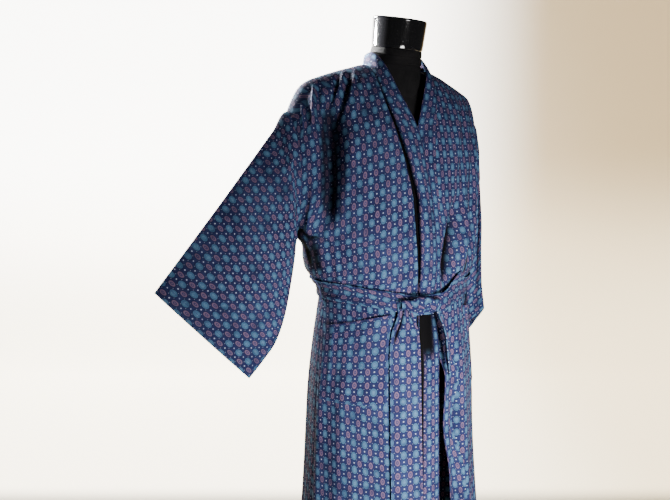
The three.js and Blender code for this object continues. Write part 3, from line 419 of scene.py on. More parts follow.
# Materials
class Value:
    """A number inside a material's node tree, with ordinary arithmetic."""

    def __init__(self, paint, socket):
        self.paint = paint
        self.socket = socket

    def math(self, operation, *others, clamp=False):
        node = self.paint.tree.nodes.new("ShaderNodeMath")
        node.operation = operation
        node.use_clamp = clamp
        for slot, item in zip(node.inputs, (self, *others)):
            self.paint.feed(slot, item)
        return Value(self.paint, node.outputs[0])

    __add__ = __radd__ = partialmethod(math, "ADD")
    __sub__ = partialmethod(math, "SUBTRACT")
    __mul__ = __rmul__ = partialmethod(math, "MULTIPLY")
    __truediv__ = partialmethod(math, "DIVIDE")
    root = partialmethod(math, "SQRT")
    sine = partialmethod(math, "SINE")
    whole = partialmethod(math, "ROUND")
    size = partialmethod(math, "ABSOLUTE")
    least = partialmethod(math, "MINIMUM")

    def __rsub__(self, other):
        return self * -1 + other

    def ramp(self, low, high):
        """0 up to low, 1 from high on, and smooth between them; low may be the larger."""
        t = ((self - low) / (high - low)).math("ADD", 0, clamp=True)
        return t * t * (3 - 2 * t)


class Paint:
    """A material and the nodes that make it."""

    def __init__(self, name):
        self.material = bpy.data.materials.new(name)
        self.material.use_nodes = True
        self.tree = self.material.node_tree
        self.shader = self.tree.nodes["Principled BSDF"]

    def feed(self, slot, item):
        if isinstance(item, Value):
            self.tree.links.new(item.socket, slot)
        elif hasattr(item, "is_output"):
            self.tree.links.new(item, slot)
        else:
            slot.default_value = item

    def node(self, kind, settings=None, inputs=None):
        node = self.tree.nodes.new(kind)
        for key, value in (settings or {}).items():
            setattr(node, key, value)
        for key, value in (inputs or {}).items():
            self.feed(node.inputs[key], value)
        return node

    def values(self, spot):
        """A place's three numbers."""
        return [Value(self, part) for part in self.node("ShaderNodeSeparateXYZ", inputs={0: spot}).outputs]

    def where(self):
        """Place on the piece, in metres."""
        return self.node("ShaderNodeTexCoord").outputs["Object"]

    def cloth(self):
        """Place on the flat cut, in metres."""
        return self.node("ShaderNodeUVMap", {"uv_map": "cloth"}).outputs[0]

    def noise(self, spot, scale, detail=2.0, roughness=0.5):
        node = self.node("ShaderNodeTexNoise", inputs={
            "Vector": spot, "Scale": scale, "Detail": detail, "Roughness": roughness})
        return Value(self, node.outputs[0])

    def blend(self, share, first, second):
        """A colour between two colours."""
        node = self.node("ShaderNodeMix", {"data_type": "RGBA"})
        self.feed(node.inputs[0], share)
        for slot, item in ((node.inputs[6], first), (node.inputs[7], second)):
            self.feed(slot, (*item, 1.0) if isinstance(item, tuple) and len(item) == 3 else item)
        return node.outputs[2]

    def bump(self, height, strength, distance):
        node = self.node("ShaderNodeBump", inputs={
            "Strength": strength, "Distance": distance, "Height": height})
        self.feed(self.shader.inputs["Normal"], node.outputs[0])

    def set(self, **inputs):
        for name, item in inputs.items():
            self.feed(self.shader.inputs[name.replace("_", " ")], item)
        return self.material


# Print: ovals in two colours on a repeat of this many metres across and along, with small dots between.
REPEAT_ACROSS = 0.0234
REPEAT_ALONG = 0.0286
TEAL_SIZE = (0.0059, 0.0086)
ROSE_SIZE = (0.0044, 0.0076)
DOT_SIZE = (0.0013, 0.0014)
PIN_SIZE = (0.0008, 0.0008)
GROUND = (0.009, 0.011, 0.042)
GROUND_WORN = (0.016, 0.022, 0.066)
TEAL = (0.034, 0.082, 0.145)
TEAL_PALE = (0.060, 0.120, 0.188)
ROSE = (0.100, 0.062, 0.100)
ROSE_DEEP = (0.030, 0.024, 0.066)
INK = (0.004, 0.006, 0.024)
CHALK = (0.340, 0.370, 0.480)
THREAD = (0.020, 0.026, 0.080)
# Near black, painted as shade on cloth deep in folds, grooves and recesses
PAINTED_SHADE_COLOR = (0.0003, 0.0003, 0.0006)
STITCH = 0.0026  # from one stitch to the next
WARP_TURNS = 9000
WEFT_TURNS = 8200


def printed_cotton(name, stitch_lines=()):
    """The robe's cotton. stitch_lines are (axis, place) on the flat cut, in metres."""
    paint = Paint(name)
    spot = paint.cloth()
    u, v, _ = paint.values(spot)
    waver = paint.noise(spot, 90.0) - 0.5
    drift = paint.noise(spot, 14.0) - 0.5
    across = (u + waver * 0.0022 + drift * 0.002) / REPEAT_ACROSS
    along = (v + waver * 0.0018 - drift * 0.002) / REPEAT_ALONG

    def from_nearest(shift_u, shift_v, wide, tall):
        du = ((across + shift_u) - (across + shift_u).whole()) * (REPEAT_ACROSS / wide)
        dv = ((along + shift_v) - (along + shift_v).whole()) * (REPEAT_ALONG / tall)
        return (du * du + dv * dv).root()

    teal_oval = from_nearest(0.0, 0.0, *TEAL_SIZE)
    rose_oval = from_nearest(0.5, 0.5, *ROSE_SIZE)
    dots = from_nearest(0.5, 0.0, *DOT_SIZE).least(from_nearest(0.0, 0.5, *DOT_SIZE))
    pins = from_nearest(0.26, 0.23, *PIN_SIZE)
    for shift in ((-0.26, 0.23), (0.26, -0.23), (-0.26, -0.23)):
        pins = pins.least(from_nearest(*shift, *PIN_SIZE))

    uneven = paint.noise(spot, 240.0, 3.0)
    broad = paint.noise(spot, 9.0, 3.0)
    ground = paint.blend(broad.ramp(0.35, 0.7), GROUND, GROUND_WORN)
    halo = teal_oval.least(rose_oval).ramp(1.42, 1.12)
    color = paint.blend(halo * 0.55, ground, INK)
    pale = teal_oval.ramp(0.95, 0.3) * uneven.ramp(0.38, 0.62)
    teal = paint.blend(pale, TEAL, TEAL_PALE)
    color = paint.blend(teal_oval.ramp(1.04, 0.90), color, teal)
    color = paint.blend((teal_oval - 0.66).size().ramp(0.10, 0.03) * 0.40, color, INK)
    color = paint.blend(rose_oval.ramp(1.02, 0.88), color, ROSE)
    color = paint.blend(rose_oval.ramp(0.60, 0.48), color, ROSE_DEEP)
    color = paint.blend(rose_oval.ramp(0.30, 0.18) * 0.85, color, ROSE)
    color = paint.blend(dots.ramp(1.15, 0.75) * 0.85, color, CHALK)
    color = paint.blend(pins.ramp(1.2, 0.7) * 0.45, color, CHALK)

    weave = (u * WARP_TURNS).sine() * (v * WEFT_TURNS).sine()
    slub = paint.noise(spot, 700.0, 3.0, 0.6)
    crumple = paint.noise(spot, 26.0, 4.0)
    relief = weave * 0.25 + slub * 0.9 + crumple * 11
    for axis, place in stitch_lines:
        line, run = (u, v) if axis == "across" else (v, u)
        near = (line - place).size().ramp(0.0011, 0.0005)
        dash = (run * (2 * math.pi / STITCH)).sine().ramp(-0.35, 0.1)
        color = paint.blend(near * dash * 0.9, color, THREAD)
        relief = relief - near * 2.2 + near * dash * 1.6
    paint.bump(relief, 0.35, 0.0006)
    color = paint.blend(slub * 0.22, color, GROUND)
    # Painted shade: the colour darkens where the crumple noise is high, as shade among the crumples.
    color = paint.blend(crumple.ramp(0.46, 0.72) * 0.5, color, INK)
    # Painted shade: near black where the piece's painted shade attribute is 1.
    gap = Value(paint, paint.node("ShaderNodeAttribute", {"attribute_name": "gap"}).outputs["Fac"])
    color = paint.blend(gap, color, PAINTED_SHADE_COLOR)
    return paint.set(Base_Color=color, Roughness=0.72 + slub * 0.16, Specular_IOR_Level=0.05)


def jersey(name):
    paint = Paint(name)
    spot = paint.where()
    x, y, rise = paint.values(spot)
    ribs = (x.math("ARCTAN2", y) * 190.0).sine().size()
    loops = (rise * 3400.0).sine().size()
    fuzz = paint.noise(spot, 900.0, 3.0)
    tone = paint.noise(spot, 22.0, 3.0)
    color = paint.blend(tone.ramp(0.3, 0.75), (0.003, 0.003, 0.0035), (0.007, 0.0065, 0.007))
    color = paint.blend(fuzz.ramp(0.55, 0.8) * 0.5, color, (0.016, 0.015, 0.016))
    paint.bump(ribs * 0.5 + loops * 0.35 + fuzz * 0.8, 0.4, 0.0007)
    return paint.set(Base_Color=color, Roughness=0.86 + fuzz * 0.1, Specular_IOR_Level=0.10)


def gloss(name):
    paint = Paint(name)
    spot = paint.where()
    marks = paint.noise(spot, 420.0, 4.0).ramp(0.62, 0.72)
    color = paint.blend(marks * 0.25, (0.006, 0.006, 0.007), (0.05, 0.05, 0.052))
    paint.bump(paint.noise(spot, 26.0, 2.0), 0.25, 0.0012)
    return paint.set(Base_Color=color, Roughness=0.10 + marks * 0.18, Coat_Weight=0.6 - marks * 0.3,
                     Coat_Roughness=0.05)


def powder_coat(name):
    paint = Paint(name)
    spot = paint.where()
    grain = paint.noise(spot, 1500.0, 3.0)
    scuffs = paint.noise(spot, 35.0, 4.0).ramp(0.62, 0.74)
    color = paint.blend(scuffs * 0.4, (0.013, 0.013, 0.014), (0.055, 0.054, 0.053))
    paint.bump(grain, 0.35, 0.0004)
    return paint.set(Base_Color=color, Roughness=0.42 + grain * 0.14 + scuffs * 0.15, Metallic=0.15)


COTTON = printed_cotton("printed_cotton")
HEMMED = printed_cotton("printed_cotton_hemmed", [("along", -0.880), ("along", -0.901)])
SLEEVE_COTTON = printed_cotton("printed_cotton_cuff", [("across", -0.024)])
JERSEY = jersey("black_jersey")
GLOSS = gloss("gloss_black")
STEEL = powder_coat("black_steel")

# Body panels. Columns are close together over the ditch beside the band, then even.
# The ditch beside the band: across its width, how deep it is and how much painted shade darkens it
DITCH = table("share depth gap", (0, 1, 1), (0.62, 1, 1), (0.82, 0.6, 0.8), (1.04, 0, 0), (1.8, 0, 0))
DITCH_STEPS = np.array([0, 0.2, 0.4, 0.58, 0.66, 0.74, 0.82, 0.9, 0.97, 1.04, 1.3, 1.8])
# Ditch depths, in millimetres, over which its painted shade comes in
DITCH_SHADE_DEPTHS = (3.0, 7.0)
PANEL_ROWS = 210
FRONT_COLUMNS = 110
BACK_COLUMNS = 200
SEAM_PINCH = 0.9
SEAM_SPREAD = 0.8
CUT_OF_FOLDS = 0.55
STRAIGHT_AT = 105  # how far out the print's columns hang straight
ROWS_TILT = {"right": 0.24, "left": 0.05}
CHEST = (940, 1060)  # heights over which the chest's own slope and shade come in


def pinch(angle):
    """The side seams draw the cloth in a little."""
    return -SEAM_PINCH * bump((90 - np.abs(angle)) / SEAM_SPREAD)


def front_angles(name, height):
    sign = SIDES[name]["sign"]
    column = height[:, None]
    seam = edge_at(name, "seam", column)
    groove = edge_at(name, "groove", column)
    near = angle_at(seam + sign * groove * DITCH_STEPS, column)
    steps = np.arange(1, FRONT_COLUMNS + 1) / FRONT_COLUMNS
    rest = mix(near[:, -1:], sign * 90, steps)
    return np.concatenate([near, rest], 1)


def flat_cut(angle, height, grid, middle, tilt=0.0):
    """Across from the line that runs straight down the cut, and up from the underarm, in millimetres."""
    base = plain(angle, height)
    real = np.linalg.norm(np.diff(grid, axis=1), axis=-1)
    smoothed = np.linalg.norm(np.diff(base, axis=1), axis=-1)
    widths = mix(smoothed, real, CUT_OF_FOLDS)
    u = np.concatenate([np.zeros((len(base), 1)), np.cumsum(widths, 1)], 1)
    x = base[..., 0] * (1 if base[0, -1, 0] > base[0, 0, 0] else -1)
    start = np.array([np.interp(middle, row, line) for row, line in zip(x, u)])
    rises = np.linalg.norm(plain(angle[:-1], height[1:]) - base[:-1], axis=-1)
    v = np.concatenate([np.zeros((1, base.shape[1])), np.cumsum(rises, 0)], 0)
    low = int(np.argmin(np.abs(height[:, 0] - UNDERARM_Z)))
    u = u - start[:, None]
    return u, v - v[low] - tilt * u * ramp_between(height, CHEST)


# Creases across the body, between places given as an angle and a height
TUCKS = {
    "right": table(CREASE, (-89, 1150, -70, 1132, 9, -9), (-76, 1138, -57, 1120, 7, -8),
                   (-88, 1118, -60, 1100, 7, 4)),
    "left": table(CREASE, (88, 1140, 66, 1118, 8, -6), (80, 1112, 60, 1096, 7, 3)),
}
# Depths of tucks and of valleys, in millimetres, over which painted shade comes in
TUCK_SHADE_DEPTHS = (3.0, 8.0)
VALLEY_SHADE_DEPTHS = (7.0, 30.0)
# Painted shade laid along dark folds of the fronts, given in the fold columns
SHADED = {  # dark folds of the fronts; the last value is how dark they are
    "right": table(FOLD, (1165, 1045, -80, -86, 6, 1.2), (1140, 1040, -66, -76, 4, 0.9)),
    "left": table(FOLD, (1185, 1000, 25, 10.5, 1.6, 1.1), (1165, 1015, 38, 33, 1.8, 1.1)),
}
VALLEY_SHADE = 0.75
MM_A_DEGREE = 3.4


def front_grid(name):
    heights = robe_heights(PANEL_ROWS)
    angle = front_angles(name, heights)
    height = np.repeat(heights[:, None], angle.shape[1], 1)
    ditch = np.maximum(0, edge_at(name, "ditch", heights))[:, None]
    depth = np.zeros(angle.shape[1])
    depth[:len(DITCH_STEPS)] = read(DITCH, "share", "depth", DITCH_STEPS)
    tuck = creases_between(TUCKS[name], angle, height, MM_A_DEGREE, 1.0) * smooth((90 - np.abs(angle)) / 5)
    grid = front_point(name, angle, height, pinch(angle) - ditch * depth + tuck)
    # Painted shade: the colour darkens in deep valleys and tucks, along the listed dark folds, and in the
    # ditch beside the band.
    valley = folds_of([FOLDS[name], CREASES[name]], angle, height) + tuck
    shade = VALLEY_SHADE * ramp_between(-valley, VALLEY_SHADE_DEPTHS) * ramp_between(height, CHEST)
    gap = np.maximum(ramp_between(-tuck, TUCK_SHADE_DEPTHS), shade)
    gap = np.maximum(gap, np.clip(folds_of([SHADED[name]], angle, height), 0, 1))
    shows = ramp_between(ditch, DITCH_SHADE_DEPTHS)
    ditch_shade = read(DITCH, "share", "gap", DITCH_STEPS)[None] * shows
    gap[:, :len(DITCH_STEPS)] = np.maximum(gap[:, :len(DITCH_STEPS)], ditch_shade)
    if name == "right":
        grid, angle, gap = grid[:, ::-1], angle[:, ::-1], gap[:, ::-1]
    return grid, flat_cut(angle, height, grid, SIDES[name]["sign"] * STRAIGHT_AT, ROWS_TILT[name]), gap


def back_height(angle, height):
    x = np.abs(plain(angle, NECK_SIDE_Z)[..., 0])
    drop = BACK_NECK_DROP * (1 - smooth(x / NECK_SIDE_X))
    share = (height - UNDERARM_Z) / YOKE_RISE
    return np.where(height <= UNDERARM_Z, height, UNDERARM_Z + YOKE_RISE * share * (1 - drop * share ** 2))


def back_grid():
    line = np.linspace(90 + 1e-6, 270 - 1e-6, BACK_COLUMNS)
    line = np.where(line > 180, line - 360, line)
    heights = robe_heights(PANEL_ROWS)
    angle, height = np.meshgrid(line, heights)
    rise = back_height(angle, height)
    grid = back_point(angle, rise, pinch(angle))
    return grid, flat_cut(angle, rise, grid, 0)


def front_piece(name):
    grid, cut, gap = front_grid(name)
    return cloth_piece(f"front_{name}", grid, HEMMED, flat=cut, gap=gap)


def back_piece():
    grid, cut = back_grid()
    return cloth_piece("back", grid, HEMMED, flat=cut)


front_right = front_piece("right")
front_left = front_piece("left")
back = back_piece()

# Sleeves
STATION = "at topX topY topZ lowX lowY lowZ frontX frontY backX backY"
SLEEVES = {
    "right": table(
        STATION,
        (0, 260, 0, 1386, 249, 0, 1135, 0, -48, 0, 50), (0.12, 292, 0, 1345, 253, -6, 1078, 0, -44, 0, 42),
        (0.3, 342, -2, 1281, 263, -6, 1016, 0, -33, 0, 34),
        (0.5, 397, -2, 1210, 276, -4, 957, 0, -25, 0, 27), (0.7, 453, 0, 1138, 297, -2, 905, 0, -20, 0, 22),
        (0.85, 495, 0, 1085, 322, 0, 873, 0, -16, 0, 18), (1, 537, 0, 1032, 354, 0, 839, 0, -12, 0, 14),
    ),
    "left": table(
        STATION,
        (0, 232, 0, 1386, 229, 0, 1135, 0, -20, 0, 56),
        (0.12, 243, -4, 1330, 235, 26, 1102, -1, -20, 7, 50),
        (0.3, 248, -10, 1248, 230, 66, 1044, -8, -14, 16, 34),
        (0.5, 249, -18, 1158, 224, 104, 976, -12, -8, 18, 14),
        (0.7, 243, -26, 1068, 219, 128, 900, -12, -3, 17, 6),
        (0.85, 241, -31, 1000, 221, 142, 828, -13, -2, 17, 3),
        (1, 247, -35, 933, 226, 155, 750, -14, -2, 18, 2),
    ),
}
SLEEVE_ROWS = 150
SLEEVE_COLUMNS = 110
SLEEVE_STRAIGHT = 28.8
SLEEVE_TAKES_OVER = 0.12
BULGE = 0.7
SLEEVE_LONG = 470
SLEEVE_HIGH = 260
SLEEVE_CUT = 540

# Creases on a sleeve's front wall, 1, and back wall, -1: along the arm and up from the closed lower edge.
SLEEVE_CREASES = {
    ("right", 1): table(
        CREASE,
        (0.02, 0.1, 0.3, 0.34, 9, 6), (0.03, 0.24, 0.26, 0.52, 8, -6), (0.02, 0.62, 0.22, 0.8, 9, 4),
        (0.05, 0.86, 0.34, 0.93, 7, -3), (0.22, 0.1, 0.62, 0.22, 13, -4), (0.34, 0.62, 0.76, 0.8, 16, 3),
        (0.44, 0.4, 0.94, 0.5, 18, -3), (0.6, 0.12, 0.99, 0.3, 14, 3), (0.78, 0.76, 0.99, 0.84, 12, -2.5),
    ),
    ("right", -1): table(
        CREASE,
        (0.02, 0.12, 0.34, 0.3, 10, 6), (0.03, 0.34, 0.38, 0.6, 10, -6), (0.1, 0.78, 0.46, 0.88, 12, 4),
        (0.4, 0.2, 0.9, 0.36, 16, -4), (0.52, 0.66, 0.96, 0.74, 14, 3),
    ),
    ("left", 1): table(
        CREASE,
        (0.02, 0.3, 0.24, 0.2, 8, 3), (0.1, 0.7, 0.44, 0.56, 9, -3), (0.4, 0.3, 0.86, 0.22, 10, 2.5),
        (0.48, 0.78, 0.94, 0.7, 10, -2.5),
    ),
    ("left", -1): table(
        CREASE,
        (0.04, 0.2, 0.3, 0.36, 10, 6), (0.06, 0.5, 0.34, 0.58, 10, -6), (0.16, 0.8, 0.5, 0.7, 11, 4),
        (0.4, 0.34, 0.84, 0.46, 12, -3), (0.6, 0.72, 0.97, 0.62, 11, 3),
    ),
}

# Long folds where the left sleeve hangs gathered: both walls take them together.
HANGING_FOLDS = table(
    CREASE,
    (0.03, 0.09, 1, 0.08, 12, 14), (0.02, 0.2, 1, 0.19, 11, -15), (0.04, 0.32, 1, 0.33, 12, 15),
    (0.02, 0.43, 1, 0.45, 11, -14), (0.05, 0.55, 1, 0.57, 12, 15), (0.03, 0.67, 1, 0.68, 11, -15),
    (0.04, 0.79, 1, 0.81, 12, 13), (0.03, 0.91, 0.96, 0.92, 10, -8),
)


def sleeve_wall(name, face, at, up):
    rows = SLEEVES[name]
    sign = SIDES[name]["sign"]

    def spot(prefix):
        x, y, z = (read(rows, "at", prefix + axis, at) for axis in "XYZ")
        return np.stack([sign * x, y, z], -1)

    low, top = spot("low"), spot("top")
    side = "front" if face > 0 else "back"
    out = np.stack([sign * read(rows, "at", side + "X", at), read(rows, "at", side + "Y", at), 0 * at], -1)
    bulge = np.sin(math.pi * up) ** BULGE
    crease = creases_between(SLEEVE_CREASES[name, face], at, up, SLEEVE_LONG, SLEEVE_HIGH)
    free = low + (top - low) * up[..., None] + out * bulge[..., None]
    away = unit(np.cross(top - low, sleeve_way(rows, sign, at))) * -sign * face
    if name == "left":
        crease = crease + face * creases_between(HANGING_FOLDS, at, up, SLEEVE_LONG, SLEEVE_HIGH)
    free = free + away * (crease * np.minimum(1, bulge * 1.4))[..., None]
    height = UNDERARM_Z + up * YOKE_RISE
    if face > 0:
        armhole = front_point(name, sign * 90, height, pinch(90))
    else:
        armhole = back_point(sign * (90 + 1e-6), height, pinch(90))
    out_along = np.stack([sign * SLEEVE_STRAIGHT * at / SLEEVE_TAKES_OVER, 0 * at, 0 * at], -1)
    return mix(armhole + out_along, free, smooth(at / SLEEVE_TAKES_OVER)[..., None])


def sleeve_way(rows, sign, at):
    """The way that the sleeve runs."""
    before, after = np.clip(at - 0.02, 0, 1), np.clip(at + 0.02, 0, 1)
    step = [sum(read(rows, "at", edge + axis, after) - read(rows, "at", edge + axis, before)
                for edge in ("top", "low")) for axis in "XYZ"]
    return np.stack([sign * step[0], step[1], step[2]], -1)


def sleeve_piece(name):
    at = np.linspace(0, 1, SLEEVE_ROWS) ** 1.25
    up = (1 - np.cos(np.linspace(0, math.pi, SLEEVE_COLUMNS))) / 2
    at, up = np.meshgrid(at, up, indexing="ij")
    front = sleeve_wall(name, 1, at, up)
    behind = sleeve_wall(name, -1, at, up)[:, 1:-1][:, ::-1]
    grid = np.concatenate([front, behind], 1)
    if name == "left":
        grid = grid[:, ::-1]
    along, around = cloth_map(grid, round_about=True, upright=False)
    along = along - along[-1:]
    around = around * (SLEEVE_CUT / around[:, -1:].mean())
    return cloth_piece(f"sleeve_{name}", grid, SLEEVE_COTTON, round_about=True, flat=(along, around))


sleeve_right = sleeve_piece("right")
sleeve_left = sleeve_piece("left")

# Collar band: one doubled strip from hem to hem round the back of the neck
BAND_ACROSS = np.concatenate([np.linspace(0, 0.9, 16), [0.94, 0.97, 0.99]])
BAND_UNDER = [(0.4, -0.25), (0.1, -0.6), (-0.9, -0.85), (-2.0, -1.0)]
NECK_STEPS = 90
STAND = dict(sideX=66, sideY=0, backY=61, z=1524, backZ=1517)
STAND_OFF = 2.0
BAND_OUT = 1.7
BAND_STITCH = 0.004
# Heights, and shares of the band's width, over which its recess under the knot, sunk in and darkened with
# painted shade, and the painted shade along its edge come in
RECESS_FOOT = (850, 890)
RECESS_TOP = (984, 974)
RECESS_SIDE = (0.10, 0.40)
RECESS_DEPTH = 4
SHADE_FOOT = (330, 390)
SHADE_TOP = (984, 954)
SHADE_SIDE = (0.76, 0.84)
BAND_PRINT = 9  # where the print's repeat starts across the band


def band_rows(name, heights):
    sign = SIDES[name]["sign"]
    column = heights[:, None]
    keys = ("free", "seam", "lift", "ditch", "rise")
    free, seam, lift, ditch, rise = (edge_at(name, key, column) for key in keys)
    low = np.minimum(0, OVER_LEFT_BAND - lift)
    share = BAND_ACROSS[None, :]
    out = BAND_OUT + mix(low, 0, smooth(share / 0.8)) + BAND_ARCH * np.sin(math.pi * share)
    full = np.repeat(column, share.shape[1], 1)
    over = front_point(name, angle_at(mix(free, seam, share), column), full, out)
    over[..., 2] += rise * (1 - share)
    under = []
    for beyond, depth in BAND_UNDER:
        x = seam + sign * beyond
        out = np.where(ditch > 0, mix(BAND_OUT, -ditch, -depth), BAND_OUT * (1 + depth) + 0.8 * -depth)
        under.append(front_point(name, angle_at(x, column), column, out))
    return np.concatenate([over, *under], 1)


def neck_angle(name):
    return abs(float(angle_at(SIDES[name]["sign"] * NECK_SIDE_X, NECK_SIDE_Z)))


def neck_rows():
    turn = np.linspace(-1, 1, NECK_STEPS + 1)[1:-1]
    swing = turn * math.pi / 2
    angle = np.where(turn < 0, -180 - neck_angle("right") * turn, 180 - neck_angle("left") * turn)
    seam = back_point(angle, back_height(angle, np.full_like(angle, NECK_SIDE_Z)))
    around = np.cos(swing)
    free = np.stack([STAND["sideX"] * np.sin(swing), mix(STAND["sideY"], STAND["backY"], around),
                     mix(STAND["z"], STAND["backZ"], around)], -1)
    out = np.stack([np.sin(swing), around, 0 * around], -1)
    foot = seam + np.array([0, 0, STAND_OFF])
    share = BAND_ACROSS[None, :, None]
    over = free[:, None] + (foot - free)[:, None] * share + out[:, None] * BAND_ARCH * np.sin(math.pi * share)
    under = [foot + out * beyond + np.array([0, 0, depth]) for beyond, depth in
             ((0.5, -0.4), (0.1, -1.0), (-0.9, -1.2), (-2.0, -1.0))]
    return np.concatenate([over, np.stack(under, 1)], 1)


def band_piece():
    heights = robe_heights(PANEL_ROWS)
    right, around, left = band_rows("right", heights), neck_rows(), band_rows("left", heights)[::-1]
    grid = np.concatenate([right, around, left])
    across = BAND_ACROSS[None]
    high = heights[:, None]
    sunk_and_shaded, shade = np.zeros((2, *grid.shape[:2]))
    front = np.s_[:len(heights), :len(BAND_ACROSS)]
    for part, foot, top, side in ((sunk_and_shaded, RECESS_FOOT, RECESS_TOP, RECESS_SIDE),
                                  (shade, SHADE_FOOT, SHADE_TOP, SHADE_SIDE)):
        part[front] = ramp_between(high, foot) * ramp_between(high, top) * ramp_between(across, side)
    grid[..., 1] += RECESS_DEPTH * sunk_and_shaded
    u, v = cloth_map(grid)
    v = np.repeat(v[:, v.shape[1] // 2, None], v.shape[1], 1)
    finish = printed_cotton("printed_cotton_band", [("across", BAND_STITCH)])
    # Painted shade: the recess and the strip along the band's edge are darkened.
    gap = np.maximum(sunk_and_shaded, shade)
    return cloth_piece("collar_band", grid, finish, BAND_CLOTH, flat=(u - BAND_PRINT, v), gap=gap)


band = band_piece()

# Sash: crumpled cloth round the waist
SASH = table(
    "angle out z",
    (-180, 3.6, 1016), (-90, 3.8, 1013), (-62, 5, 1010), (-40, 13, 1002), (-24, 18.5, 992),
    (-10, 19.5, 984), (6, 19, 985), (18, 10, 996), (34, 5, 1006), (90, 3.8, 1013), (180, 3.6, 1016),
)
SASH_HALF = 22
SASH_RIDGES = table("row lift", (0, 0.6), (0.14, 3), (0.3, 0.2), (0.46, 2.8), (0.6, 0.1), (0.78, 3.4),
                    (0.92, 0.6), (1, 1.4))
SASH_LONG = 1090
SASH_CREASES = table(
    CREASE,
    (0.02, 0.3, 0.13, 0.62, 2.6, 1.8), (0.09, 0.8, 0.2, 0.48, 2.4, -1.6), (0.16, 0.2, 0.27, 0.42, 2.6, 1.6),
    (0.24, 0.72, 0.33, 0.4, 2.2, -1.6), (0.295, 0.15, 0.36, 0.5, 2.2, 1.8), (0.31, 0.88, 0.4, 0.6, 2, 1.6),
    (0.345, 0.62, 0.42, 0.2, 2.4, -2), (0.38, 0.32, 0.47, 0.72, 2, 1.8),
    (0.405, 0.86, 0.475, 0.46, 2, -1.8), (0.44, 0.18, 0.49, 0.4, 2, 1.4), (0.53, 0.3, 0.58, 0.74, 2.4, 1.8),
    (0.55, 0.82, 0.63, 0.5, 2.2, -1.6), (0.61, 0.24, 0.7, 0.5, 2.4, 1.6),
    (0.68, 0.76, 0.78, 0.44, 2.4, -1.6), (0.76, 0.22, 0.86, 0.58, 2.6, 1.8),
    (0.84, 0.84, 0.95, 0.5, 2.4, -1.6),
)
SASH_ROWS = 26
SASH_COLUMNS = 520
SASH_CLOTH = 1.6
SASH_PEAK = 22
SASH_PEAK_AT = 25
SASH_PEAK_WIDE = 7


def sash_piece():
    turn = -180 + 360 * (np.arange(SASH_COLUMNS) + 0.5) / SASH_COLUMNS
    row = np.linspace(0, 1, SASH_ROWS)
    row, turn = np.meshgrid(row, turn, indexing="ij")
    height = read(SASH, "angle", "z", turn) + SASH_HALF * (2 * row - 1)
    height = height + SASH_PEAK * smooth(row / 0.9) * bump((turn - SASH_PEAK_AT) / SASH_PEAK_WIDE)
    wave = read(SASH_RIDGES, "row", "lift", row) * (0.7 + 0.3 * np.sin(5 * turn * DEG + 4 * row))
    crease = creases_between(SASH_CREASES, (turn + 180) / 360, row, SASH_LONG, 2 * SASH_HALF)
    edge = np.minimum(1, 4 * np.minimum(row, 1 - row) + 0.35)
    out = read(SASH, "angle", "out", turn) + wave + crease * edge
    grid = plain(turn, height) + outward(turn, height) * out[..., None]
    cut = cloth_map(grid, round_about=True, upright=False)
    return cloth_piece("sash", grid, COTTON, SASH_CLOTH, round_about=True, flat=cut)


sash = sash_piece()

# The knot, a flattened roll that lies across the sash
KNOT = table(
    "x height depth y z",
    (-84, 9, 6, -157.5, 988), (-72, 12, 8, -164.5, 990), (-56, 14, 9.5, -170.5, 990),
    (-38, 14.5, 10, -174, 990), (-20, 14, 9.5, -175.5, 989), (-6, 12, 8, -175, 988), (6, 9, 6, -173.5, 986),
)
KNOT_CREASES = table(
    CREASE,
    (0.02, 0.66, 0.4, 0.8, 2.6, -2.4), (0.1, 0.86, 0.62, 0.7, 2.4, 2.2), (0.3, 0.6, 0.74, 0.78, 2.4, -2.2),
    (0.55, 0.88, 0.98, 0.74, 2.6, -2.4), (0.6, 0.62, 0.99, 0.66, 2.2, 1.8),
    (0.05, 0.94, 0.5, 0.92, 2.4, 1.8), (0.44, 0.52, 0.9, 0.56, 2.4, -1.6),
)
KNOT_SLIM = 0.90
KNOT_SQUARE = 0.7
KNOT_ROWS = 70
KNOT_COLUMNS = 72
KNOT_LONG = 90
KNOT_AROUND = 80
KNOT_CREASED = 1 / 8  # share of its thickness that a crease of 1 mm takes


def squared(value):
    return np.sign(value) * np.abs(value) ** KNOT_SQUARE


def knot_piece():
    x = np.linspace(*KNOT["x"][[0, -1]], KNOT_ROWS)[:, None]
    turn = -ring_turns(KNOT_COLUMNS)[None, :]
    share = (x - x[0]) / (x[-1] - x[0]) + 0 * turn
    around = -turn / (2 * math.pi) + 0 * x
    crease = creases_between(KNOT_CREASES, share, 1 - around, KNOT_LONG, KNOT_AROUND)
    thick = KNOT_SLIM + crease * KNOT_CREASED
    y = read(KNOT, "x", "y", x) + squared(np.cos(turn)) * read(KNOT, "x", "depth", x) * thick
    sway = 1.8 * np.sin(x / 8.5) + 1.2 * np.sin(x / 4.3 + 1)
    z = read(KNOT, "x", "z", x) + sway + squared(np.sin(turn)) * read(KNOT, "x", "height", x) * thick
    grid = np.stack([x + 0 * y, y, z], -1)
    return cloth_piece("sash_knot", grid, COTTON, SASH_CLOTH, round_about=True)


knot = knot_piece()

